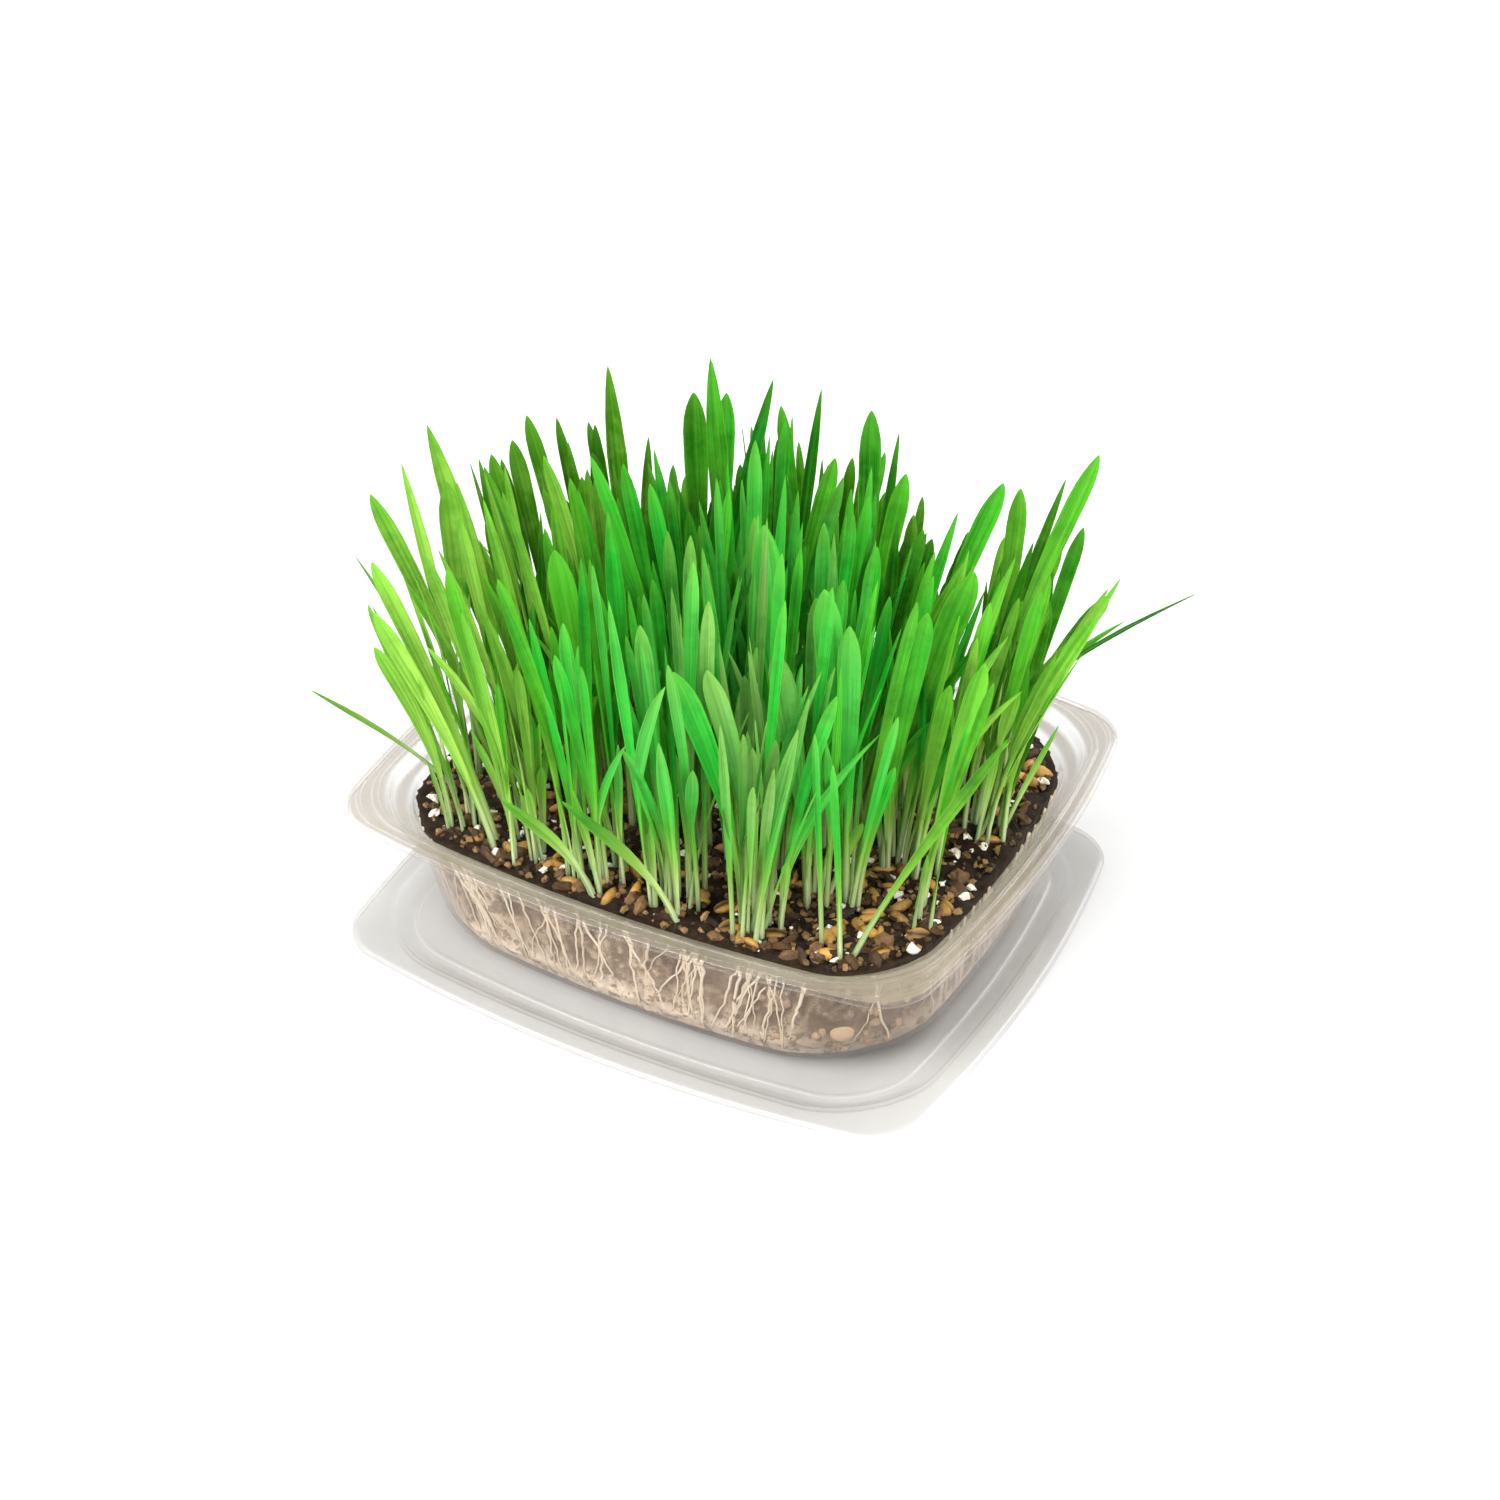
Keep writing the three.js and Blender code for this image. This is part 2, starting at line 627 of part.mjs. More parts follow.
const tufts = growTufts();
const planting = new THREE.Group();
planting.position.set(TUB_SHIFT[0], TUB_SHIFT[1], 0);
let soil = joined([soilGeometry().translate(0, 0, TUB_FLOOR), ...looseGrains(tufts)]);
tufts.forEach((tuft) => {
  soil = soil.subtract(toSolid(crownGeometry(tuft, CROWN_CLEAR, CROWN_DEPTH + GAP, CROWN_DEPTH)));
});
planting.add(named("soil", toGeometry(soil), soilMix));

const grainRandom = randomSource(SEED + 1);
tufts.forEach((tuft, i) => {
  const name = `tuft_${String(i + 1).padStart(2, "0")}`;
  planting.add(named(name, tuftGeometry(tuft, grainRandom), freshGreen));
});
wheatgrassTray.add(planting);

export default wheatgrassTray;
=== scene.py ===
"""Wheatgrass in a clear plastic tub that stands on its own lid as a saucer.

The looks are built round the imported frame. Sizes are in millimetres in the frame's axes and
become metres when a mesh is made.
"""

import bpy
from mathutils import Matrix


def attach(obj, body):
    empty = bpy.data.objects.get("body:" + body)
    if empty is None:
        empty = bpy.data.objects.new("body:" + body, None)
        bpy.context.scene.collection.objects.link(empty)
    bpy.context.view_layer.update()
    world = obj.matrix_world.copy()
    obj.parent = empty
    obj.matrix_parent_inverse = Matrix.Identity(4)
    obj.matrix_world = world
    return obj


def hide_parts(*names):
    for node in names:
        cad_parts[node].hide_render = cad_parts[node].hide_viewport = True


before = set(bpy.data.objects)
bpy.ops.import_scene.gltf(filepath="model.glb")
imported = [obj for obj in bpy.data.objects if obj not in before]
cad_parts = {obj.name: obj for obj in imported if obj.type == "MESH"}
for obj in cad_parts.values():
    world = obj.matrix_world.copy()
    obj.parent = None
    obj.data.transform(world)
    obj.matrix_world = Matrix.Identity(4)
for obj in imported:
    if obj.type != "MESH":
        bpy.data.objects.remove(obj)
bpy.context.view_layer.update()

import logging
import math
from collections.abc import Callable
from dataclasses import dataclass, field
from enum import Enum
from typing import NamedTuple

import bpy
import numpy as np

LOG = logging.getLogger("wheatgrass_tray")
MM = 0.001
Array = np.ndarray
Generator = np.random.Generator
Material = bpy.types.Material
Object = bpy.types.Object
Socket = bpy.types.NodeSocket
Colour = tuple[float, float, float]

# ---------- sizes that the solids share ----------

HALF_LENGTH, HALF_WIDTH = 93.0, 81.0
BOW_SHORT, BOW_LONG = 6.8, 8.6
CORNER = 11.0
INNER_BOW = 0.8
SHEET = 0.8
GAP = 0.3
LIP = 1.2
LID_RISE = 3.2
LID_UNDER = LID_RISE - SHEET
TUB_HEIGHT = 41.5
TUB_UNDER = TUB_HEIGHT - SHEET
BEAD = TUB_HEIGHT + 0.4
WALL_OUT, WALL_IN = 13.4, 14.2  # the wall's insets at its foot, outside and inside
TUB_SHIFT = np.array([-1.2, 5.0, 0.0])
SEAT = TUB_HEIGHT - 4.6
FLOOR_FILLET = 7.0
FILLET_MIDDLE = FLOOR_FILLET * (1 - math.sqrt(0.5))
TUB_FLOOR = SHEET + GAP
RIM = TUB_FLOOR + TUB_HEIGHT
SOIL_TOP = RIM - 6.0
SOIL_INSET = 11.3 + GAP

TUFT_PITCH, TUFT_ROW = 23.5, 22.3
TUFT_ROWS, TUFT_COLUMNS = 6, 7
CROWN_RADIUS, CROWN_LEAST = 11.6, 6.5
CORNER_DRAW, CORNER_CROWN = 0.96, 8.0
CROWN_MARGIN, STEM_MARGIN = 1.5, 1.4
BARE_CORNER, BARE_RADIUS = (80.0, -64.0), 35.0  # where no grass grows
BLADES_PER_TUFT, BLADE_TRIES, BLADE_CLEAR = 11, 30, 1.5
STEM_WIDTH = 2.1
ROOT_SINK = 3.4
TALLEST, DRAWN_TALLEST = 122.0, 113.0
TALL_Y = -12.0
CUT_STEP = 5.0
SEED = 20440
FITTED_TURN = 0.5
FRONT = (0.875, 0.484)  # the direction along the front
FULL_TURN = 2 * math.pi
GOLDEN_TURN = math.pi * (3 - math.sqrt(5))


class Tip(Enum):
    """How a blade ends: its value is the share of its length where it starts to close."""

    ROUND = 0.88
    POINTED = 0.64


CUT_LEVELS = {Tip.ROUND: (0.0, 0.42, 0.8, 0.95, 1.0), Tip.POINTED: (0.0, 0.42, 0.78, 1.0)}

# Blades that stand out: place x, y, the tip's lean in x and y, height, width, bend, round tip.
OUTER_BLADES = (
    (68, 55, 41, -4, 66, 4.2, 1.5, False), (57, 40, 29, 7, 61, 5.6, 1.2, True),
    (-54, -40, -32, -3, 89, 6, 1.4, True), (-65, -37, -10, -6, 101, 4.2, 1.6, False),
    (-71, -47, -26, -16, 36, 4.6, 1.3, False), (-46, -62, -28, 1, 66, 6, 1.4, True),
    (-43, -57, -35, 2, 77, 5.6, 1.3, True), (-66, -16, -12, -11, 104, 7, 1.5, False),
    (-61, -33, -9, 2, 91, 6.6, 1.3, True), (-65, -5, -17, 5, 81, 4, 1.3, False),
    (-67, 7, -20, 6, 75, 5, 1.3, True), (-68, 14, -13, 1, 80, 5.4, 1.4, True),
    (-56, 14, -23, 6, 86, 5.2, 1.3, True), (-60, 24, -9, 1, 78, 4.6, 1.3, False),
    (-61, 31, -4, 2, 81, 6.6, 1.4, False), (-42, 15, -9, 4, 108, 6.6, 1.4, False),
    (-55, 45, -1, 2, 73, 4.2, 1.4, False), (-32, 35, -4, 4, 95, 7, 1.4, True),
    (-23, 27, -3, 4, 111, 6.8, 1.5, False), (-29, 41, 0, 4, 94, 6, 1.5, True),
    (-32, 33, 22, 4, 106, 5, 1.2, False), (-4, 45, -9, 2, 93, 4.4, 1.3, True),
    (-6, 37, 9, 3, 105, 3.8, 1.3, False), (0, 23, 15, 2, 94, 5.4, 1.4, True),
    (21, 35, -3, 5, 102, 6.2, 1.6, True), (22, 42, 2, 3, 95, 3.4, 1.4, False),
    (19, 31, 13, 2, 90, 5.6, 1.3, True), (31, 19, 12, 2, 82, 4.8, 1.4, True),
    (36, 31, 22, 6, 92, 6.4, 1.5, True), (57, 45, 2, 2, 86, 5.4, 1.3, True),
    (52, 48, 18, 3, 90, 3.6, 1.3, False), (56, 33, 27, 5, 106, 6, 1.4, True),
    (67, 42, 14, -5, 85, 4.2, 1.3, True), (71, 33, 4, -2, 65, 5.4, 1.3, True),
    (-22, -38, -3, -11, 92, 7, 1.5, True), (-15, -33, -3, -2, 98, 5.6, 1.6, False),
    (30, -52, -13, -11, 77, 6.4, 1.8, True), (32, -49, -9, -8, 76, 6.2, 1.8, True),
    (29, -23, -7, -4, 101, 7.2, 1.7, True), (42, -43, -4, -7, 82, 6.6, 1.7, True),
    (47, -31, -4, -4, 93, 7.4, 1.6, True), (51, -35, 0, -2, 86, 6, 1.5, True),
    (53, -18, 11, -3, 85, 6.4, 1.6, True), (48, -13, 23, 3, 93, 8, 1.5, True),
    (69, -24, 10, 5, 74, 5.8, 1.4, True), (75, -55, 18, 20, 66, 5.4, 1.2, False),
    (21, -69, -29, -8, 39, 6.2, 1.6, False), (-5, -71, -20, -8, 35, 6.2, 1.6, False),
)

# Where the grass stands lower: x, y, reach, and the share of the height lost in the middle.
VALLEYS = (
    (-30, 15, 17, 0.21), (-45, 50, 19, 0.22), (9, 33, 17, 0.2), (33, 50, 22, 0.3),
    (-56, 10, 18, 0.17), (-54, -24, 12, 0.16), (43, 11, 12, 0.13),
)


# ---------- draws, outlines and meshes ----------


class RandomSource:
    """Seeded numbers from 0 to 1 by 32-bit mixing, the same as the solids' own."""

    def __init__(self, seed: int) -> None:
        """Starts from the seed."""
        self.state = seed & 0xFFFFFFFF

    def __call__(self) -> float:
        """Draws the next number.

        Returns:
            The number.
        """
        self.state = (self.state + 0x6D2B79F5) & 0xFFFFFFFF
        mixed = ((self.state ^ (self.state >> 15)) * (self.state | 1)) & 0xFFFFFFFF
        product = ((mixed ^ (mixed >> 7)) * (mixed | 61)) & 0xFFFFFFFF
        mixed = (mixed ^ (mixed + product)) & 0xFFFFFFFF
        return ((mixed ^ (mixed >> 14)) & 0xFFFFFFFF) / 4294967296.0

    def spread(self) -> float:
        """Draws from -1 to 1, favouring the middle."""
        return self() + self() - 1.0


class Station(NamedTuple):
    """One level of a formed sheet: an outline's inset and corner radius, at a height."""

    inset: float
    radius: float
    z: float
    bow: float = INNER_BOW


# The lid's profile, up its underside, over its turned-down edge and back down inside.
LID_PROFILE = [Station(*row) for row in (
    (10.8, 19, 0), (6.5, 24, 1.45), (5.6, 25, LID_UNDER), (SHEET, CORNER - SHEET, LID_UNDER, 1),
    (SHEET, CORNER - SHEET, LID_UNDER - LIP, 1), (0, CORNER, LID_UNDER - LIP, 1),
    (0, CORNER, LID_RISE, 1), (6.3, 25, LID_RISE), (7.1, 24, 2.3), (10.6, 19, SHEET),
    (12.1, 17.6, SHEET), (12.5, 17.2, SHEET + 0.35), (13.3, 16.4, SHEET + 0.35),
    (13.7, 16, SHEET), (16, 15, SHEET))]

# The tub's profile from its own floor, up its outside and back down inside.
TUB_PROFILE = [Station(*row) for row in (
    (WALL_OUT + FLOOR_FILLET, 27, 0), (WALL_OUT + FILLET_MIDDLE, 29, FILLET_MIDDLE),
    (WALL_OUT, 29.5, FLOOR_FILLET), (10.3, 24, SEAT - SHEET), (7.2, 22.5, SEAT - SHEET / 2),
    (6.4, 22, TUB_UNDER), (SHEET, CORNER - SHEET, TUB_UNDER, 1),
    (SHEET, CORNER - SHEET, TUB_UNDER - LIP, 1), (0, CORNER, TUB_UNDER - LIP, 1),
    (0, CORNER, TUB_HEIGHT, 1), (1.6, 13.2, TUB_HEIGHT, 0.96), (1.8, 13.5, BEAD, 0.95),
    (2.4, 14.4, BEAD, 0.93), (2.6, 14.7, TUB_HEIGHT, 0.93), (4.2, 17, TUB_HEIGHT, 0.89),
    (4.5, 17.4, BEAD + 0.1, 0.88), (5.3, 18.5, BEAD + 0.1, 0.86), (5.6, 18.9, TUB_HEIGHT, 0.85),
    (7.2, 21.2, TUB_HEIGHT), (8, 21.7, SEAT + SHEET / 2), (11.1, 23.2, SEAT),
    (WALL_IN, 28.7, FLOOR_FILLET), (WALL_IN + FILLET_MIDDLE, 28.2, FILLET_MIDDLE + SHEET / 2),
    (WALL_OUT + FLOOR_FILLET, 26.5, SHEET))]

# The soil's side, from the floor up, just inside the tub's wall.
SOIL_PROFILE = np.array([Station(*row) for row in (
    (WALL_IN + GAP + FLOOR_FILLET, 25.5, TUB_FLOOR),
    (WALL_IN + GAP + FILLET_MIDDLE + 0.1, 27.9, FILLET_MIDDLE + SHEET / 2 + GAP),
    (WALL_IN + GAP, 28.4, FLOOR_FILLET), (12.9 + GAP, 26, FLOOR_FILLET + 13),
    (SOIL_INSET, 23.4, SOIL_TOP - TUB_FLOOR))])


def heading(angle: Array) -> Array:
    """Unit vectors (..., 2) at angles from X."""
    return np.stack([np.cos(angle), np.sin(angle)], axis=-1)


def left_of(way: Array) -> Array:
    """The directions (..., 2) a quarter turn to the left of others."""
    return np.stack([-way[..., 1], way[..., 0]], axis=-1)


def smooth_step(share: Array) -> Array:
    """A share of 0 to 1 eased at both ends: three times its square less twice its cube."""
    return share * share * (3 - 2 * share)


def outline(station: Station, arc_steps: int, side_steps: int) -> Array:
    """A rounded rectangle whose sides bow: each point moves out by a parabola along its side.

    Args:
        station: The inset, corner radius and bow.
        arc_steps: Steps round each corner.
        side_steps: Steps along each side.

    Returns:
        Points (n, 2), anticlockwise seen from above.
    """
    bow = np.array([BOW_SHORT, BOW_LONG]) * station.bow
    half = np.array([HALF_LENGTH, HALF_WIDTH]) - bow - station.inset
    corner = np.arange(4)[:, None]
    angle = (corner + np.arange(arc_steps + 1) / arc_steps) * (math.pi / 2)
    signs = np.array([[1, 1], [-1, 1], [-1, -1], [1, -1]])[:, None]
    arcs = signs * (half - station.radius) + station.radius * heading(angle)
    share = (np.arange(1, side_steps) / side_steps)[None, :, None]
    sides = arcs[:, -1:, :] * (1 - share) + np.roll(arcs, -1, axis=0)[:, :1, :] * share
    plain = np.concatenate([arcs, sides], axis=1).reshape(-1, 2)
    part = plain / half
    return plain + bow * part * (1 - part[:, ::-1] ** 2)


def level_rings(stations: list[Station], arc_steps: int, side_steps: int,
                lift: float = 0.0) -> Array:
    """The outlines of many stations.

    Args:
        stations: The stations.
        arc_steps: Steps round each corner.
        side_steps: Steps along each side.
        lift: What is added to their heights.

    Returns:
        Points (stations, n, 3).
    """
    rings = np.stack([outline(station, arc_steps, side_steps) for station in stations])
    heights = np.array([station.z for station in stations])[:, None, None] + lift
    return np.concatenate([rings, np.broadcast_to(heights, (*rings.shape[:2], 1))], axis=2)


def edge_distance(edge: Array, spot: Array) -> float:
    """How far inside a closed edge a point is.

    Args:
        edge: The edge's points (n, 2), anticlockwise.
        spot: The point.

    Returns:
        The least distance to the lines along the edge.
    """
    step = np.roll(edge, -1, axis=0) - edge
    away = spot - edge
    cross = step[:, 0] * away[:, 1] - step[:, 1] * away[:, 0]
    return float((cross / np.hypot(*step.T)).min())


def rounded_profile(stations: list[Station], reach: float, steps: int = 4) -> list[Station]:
    """Rounds a profile's inner corners: each is replaced by a quadratic curve between the
    points that lie a reach away from it on either side, at most 0.45 of the way along.

    Args:
        stations: The profile's corners, in order.
        reach: How far from a corner its curve starts.
        steps: Steps in each curve.

    Returns:
        The finer profile.
    """
    rows = np.array(stations)
    fine = [rows[:1]]
    t = np.linspace(0, 1, steps + 1)[:, None]
    for before, corner, after in zip(rows[:-2], rows[1:-1], rows[2:]):
        ends = []
        for other in (before, after):
            length = math.hypot(other[0] - corner[0], other[2] - corner[2]) + 1e-9
            ends.append(corner + (other - corner) * min(reach / length, 0.45))
        fine.append((1 - t) ** 2 * ends[0] + 2 * t * (1 - t) * corner + t**2 * ends[1])
    fine.append(rows[-1:])
    return [Station(*row) for row in np.concatenate(fine)]


def loft_faces(levels: int, count: int, first: int = 0) -> Array:
    """Quads between rings of the same count, ring after ring, facing out for rising rings.

    Args:
        levels: Number of rings.
        count: Points in a ring.
        first: The first ring's first vertex.

    Returns:
        Faces ((levels - 1) * count, 4).
    """
    row = np.arange(levels - 1)[:, None] * count
    here = np.arange(count)[None, :]
    after = (here + 1) % count
    quads = np.stack([row + here, row + after, row + count + after, row + count + here], axis=-1)
    return quads.reshape(-1, 4) + first


def cap_faces(count: int, first: int, pole: int, up: bool) -> Array:
    """A fan of triangles that closes a ring with a pole.

    Args:
        count: Points in the ring.
        first: The ring's first vertex.
        pole: The pole's vertex.
        up: True where the fan faces up.

    Returns:
        Faces (count, 3).
    """
    here = np.arange(count) + first
    after = (np.arange(count) + 1) % count + first
    middle = np.full(count, pole)
    return np.stack([here, after, middle] if up else [after, here, middle], axis=1)


def closed_faces(levels: int, count: int) -> list[Array]:
    """The faces of rings that are closed by a low and a high pole, which follow them.

    Args:
        levels: Number of rings.
        count: Points in a ring.

    Returns:
        The quads, the low fan and the high fan.
    """
    total = levels * count
    return [loft_faces(levels, count), cap_faces(count, 0, total, up=False),
            cap_faces(count, total - count, total + 1, up=True)]


def copied_faces(faces: list[Array], copies: int, size: int) -> list[Array]:
    """The faces of many alike bodies.

    Args:
        faces: One body's faces.
        copies: How many bodies.
        size: Vertices in one body.

    Returns:
        All their faces.
    """
    shift = np.arange(copies)[:, None, None] * size
    return [(block[None] + shift).reshape(-1, block.shape[1]) for block in faces]


def make_piece(name: str, points: Array, faces: list[Array],
               material: Material, smooth: bool = True) -> Object:
    """Makes a mesh object from whole arrays.

    Args:
        name: The piece's name.
        points: Vertices (..., 3) in millimetres.
        faces: Arrays of faces, each with one number of corners.
        material: Its finish.
        smooth: False for flat shading.

    Returns:
        The object, at the origin.
    """
    mesh = bpy.data.meshes.new(name)
    corners = np.concatenate([block.ravel() for block in faces]).astype(np.int32)
    sizes = np.concatenate([np.full(len(block), block.shape[1]) for block in faces])
    starts = np.concatenate([[0], np.cumsum(sizes)[:-1]]).astype(np.int32)
    mesh.vertices.add(points.size // 3)
    mesh.vertices.foreach_set("co", (points * MM).astype(np.float32).ravel())
    mesh.loops.add(len(corners))
    mesh.loops.foreach_set("vertex_index", corners)
    mesh.polygons.add(len(sizes))
    mesh.polygons.foreach_set("loop_start", starts)
    mesh.polygons.foreach_set("use_smooth", np.full(len(sizes), smooth))
    mesh.update(calc_edges=True)
    mesh.validate()
    mesh.materials.append(material)
    return add_object(name, mesh)


def add_object(name: str, data: bpy.types.ID) -> Object:
    """Makes an object of a mesh, a lamp or a camera in the scene.

    Args:
        name: Its name.
        data: What it holds.

    Returns:
        The object.
    """
    holder = bpy.data.objects.new(name, data)
    bpy.context.scene.collection.objects.link(holder)
    return holder


def settle(piece: Object, node: str = "") -> None:
    """Rides a piece on the one body and what it stands for, and reports it.

    Args:
        piece: The piece.
        node: The node that it replaces, if any.
    """
    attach(piece, "root")
    if node:
        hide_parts(node)
    LOG.info("%s: %d faces", piece.name, len(piece.data.polygons))


def set_values(piece: Object, **values: Array) -> None:
    """Stores named attributes.

    Args:
        piece: The piece.
        **values: One number a vertex for each name.
    """
    for name, numbers in values.items():
        layer = piece.data.attributes.new(name, "FLOAT", "POINT")
        layer.data.foreach_set("value", numbers.ravel().astype(np.float32))


def set_uv(piece: Object, uv: Array) -> None:
    """Stores a UV map.

    Args:
        piece: The piece.
        uv: One pair a vertex.
    """
    loops = np.empty(len(piece.data.loops), dtype=np.int32)
    piece.data.loops.foreach_get("vertex_index", loops)
    layer = piece.data.uv_layers.new(name="UVMap")
    layer.data.foreach_set("uv", uv[loops].astype(np.float32).ravel())


def mark_sharp(piece: Object, chosen: Array) -> None:
    """Marks as sharp the edges whose two ends are both chosen vertices.

    Args:
        piece: The piece.
        chosen: True for each chosen vertex.
    """
    mesh = piece.data
    ends = np.empty(len(mesh.edges) * 2, dtype=np.int32)
    mesh.edges.foreach_get("vertices", ends)
    layer = mesh.attributes.get("sharp_edge") or mesh.attributes.new("sharp_edge", "BOOLEAN", "EDGE")
    layer.data.foreach_set("value", chosen[ends.reshape(-1, 2)].all(axis=1))


def lattice(cells: Array, seed: int) -> Array:
    """Mixes whole-number cells into numbers by multiplying and shifting bits.

    Args:
        cells: The cells (..., k).
        seed: Which numbers.

    Returns:
        Numbers (...) from 0 to 1.
    """
    mixed = np.full(cells.shape[:-1], seed, dtype=np.uint64)
    for axis in range(cells.shape[-1]):
        mixed = (mixed ^ (cells[..., axis].astype(np.int64) & 0xFFFFFFFF).astype(np.uint64))
        mixed = (mixed * np.uint64(0x9E3779B97F4A7C15)) ^ (mixed >> np.uint64(29))
    return ((mixed >> np.uint64(20)) & np.uint64(0xFFFFF)).astype(float) / 0xFFFFF


def value_noise(x: Array, y: Array, size: float, seed: int) -> Array:
    """Smooth noise from -1 to 1: a cell's corner numbers blended by eased shares.

    Args:
        x: Places in one direction.
        y: Places in the other.
        size: The size of a cell.
        seed: Which noise.

    Returns:
        Values of the same shape.
    """
    scaled = np.stack([x, y], axis=-1) / size
    base = np.floor(scaled)
    part = smooth_step(scaled - base)
    total = np.zeros(x.shape)
    for step in ((0, 0), (1, 0), (0, 1), (1, 1)):
        weight = np.prod(np.where(np.array(step) == 1, part, 1 - part), axis=-1)
        total += weight * lattice(base + step, seed)
    return total * 2 - 1


def crumb_field(points: Array, size: float, seed: int) -> Array:
    """Heights from 0 to 1 of round crumbs, one in each cell: a dome by distance to its centre.

    Args:
        points: Places (..., 2).
        size: The crumbs' pitch.
        seed: Which crumbs.

    Returns:
        Values (...).
    """
    scaled = points / size
    best = np.zeros(points.shape[:-1])
    for near in np.ndindex(3, 3):
        cell = np.floor(scaled) + np.array(near) - 1
        centre = cell + np.stack([lattice(cell, seed), lattice(cell, seed + 1)], axis=-1)
        radius = 0.45 + 0.4 * lattice(cell, seed + 2)
        share = np.hypot(*np.moveaxis(scaled - centre, -1, 0)) / radius
        dome = np.sqrt(np.clip(1 - share**2, 0, None)) * (0.4 + 0.6 * lattice(cell, seed + 3))
        best = np.maximum(best, dome)
    return best


# ---------- finishes ----------


def linear(red: float, green: float, blue: float) -> tuple[float, float, float, float]:
    """A screen colour as the shader's linear colour.

    Args:
        red: Red from 0 to 255.
        green: Green.
        blue: Blue.

    Returns:
        The linear colour, opaque.
    """
    parts = [c / 255 for c in (red, green, blue)]
    out = [c / 12.92 if c <= 0.04045 else ((c + 0.055) / 1.055) ** 2.4 for c in parts]
    return (*out, 1.0)


class Nodes:
    """A short way to build a node tree. Three numbers stand for a screen colour, 0 to 255."""

    def __init__(self, tree: bpy.types.NodeTree) -> None:
        """Wraps a tree."""
        self.tree = tree

    def feed(self, node: bpy.types.Node, inputs: dict) -> bpy.types.Node:
        """Sets and links a node's inputs.

        Args:
            node: The node.
            inputs: Input name or number to a number, a screen colour or a socket.

        Returns:
            The node.
        """
        for key, value in inputs.items():
            if isinstance(value, Socket):
                self.tree.links.new(value, node.inputs[key])
            else:
                plain = linear(*value) if isinstance(value, tuple) else value
                node.inputs[key].default_value = plain
        return node

    def add(self, kind: str, inputs: dict | None = None, **settings: object) -> bpy.types.Node:
        """Adds a shader node.

        Args:
            kind: The node's type, without its prefix.
            inputs: What its inputs are fed.
            **settings: The node's own properties.

        Returns:
            The node.
        """
        node = self.tree.nodes.new("ShaderNode" + kind)
        for key, value in settings.items():
            setattr(node, key, value)
        return self.feed(node, inputs or {})

    def ramp(self, source: Socket, stops: dict[float, Colour]) -> Socket:
        """A colour ramp.

        Args:
            source: What it reads.
            stops: Place to colour.

        Returns:
            Its colour.
        """
        node = self.add("ValToRGB", {0: source})
        elements = node.color_ramp.elements
        while len(elements) < len(stops):
            elements.new(0.5)
        for element, (place, colour) in zip(elements, stops.items()):
            element.position = place
            element.color = linear(*colour)
        return node.outputs[0]

    def mix(self, share: Socket | float, first: Socket | Colour, second: Socket | Colour,
            blend: str = "MIX") -> Socket:
        """Mixes two colours."""
        return self.add("Mix", {0: share, 6: first, 7: second}, data_type="RGBA",
                        blend_type=blend).outputs[2]

    def times(self, first: Socket, second: Colour) -> Socket:
        """Multiplies two colours."""
        return self.mix(1.0, first, second, "MULTIPLY")

    def math(self, operation: str, *values: Socket | float, clamp: bool = False) -> Socket:
        """A number worked out from one to three others."""
        return self.add("Math", dict(enumerate(values)), operation=operation,
                        use_clamp=clamp).outputs[0]

    def span(self, value: Socket, low: float, high: float, start: float = 0.0, end: float = 1.0,
             kind: str = "LINEAR") -> Socket:
        """Maps a number from between low and high to between start and end, and holds it there."""
        return self.add("MapRange", {0: value, 1: low, 2: high, 3: start, 4: end},
                        interpolation_type=kind).outputs[0]

    def attribute(self, name: str) -> Socket:
        """Reads a vertex attribute's number."""
        return self.add("Attribute", attribute_name=name).outputs["Fac"]

    def parts(self, vector: Socket) -> bpy.types.NodeOutputs:
        """Splits a vector in three."""
        return self.add("SeparateXYZ", {0: vector}).outputs

    def bump(self, height: Socket, strength: float, distance: float) -> Socket:
        """Turns a height into a normal."""
        return self.add("Bump", {"Height": height, "Strength": strength,
                                 "Distance": distance}).outputs[0]


class Coat(Nodes):
    """The nodes of a new material, with its Principled shader and its output."""

    def __init__(self, name: str) -> None:
        """Makes the material.

        Args:
            name: Its name.
        """
        self.material = bpy.data.materials.new(name)
        self.material.use_nodes = True
        super().__init__(self.material.node_tree)
        kinds = {node.type: node for node in self.tree.nodes}
        self.shader, self.output = kinds["BSDF_PRINCIPLED"], kinds["OUTPUT_MATERIAL"]

    def cover(self, share: Socket | float, second: bpy.types.Node) -> None:
        """Puts a share of a second shader over the Principled one, as the surface."""
        both = self.add("MixShader", {0: share, 1: self.shader.outputs[0], 2: second.outputs[0]})
        self.feed(self.output, {"Surface": both.outputs[0]})


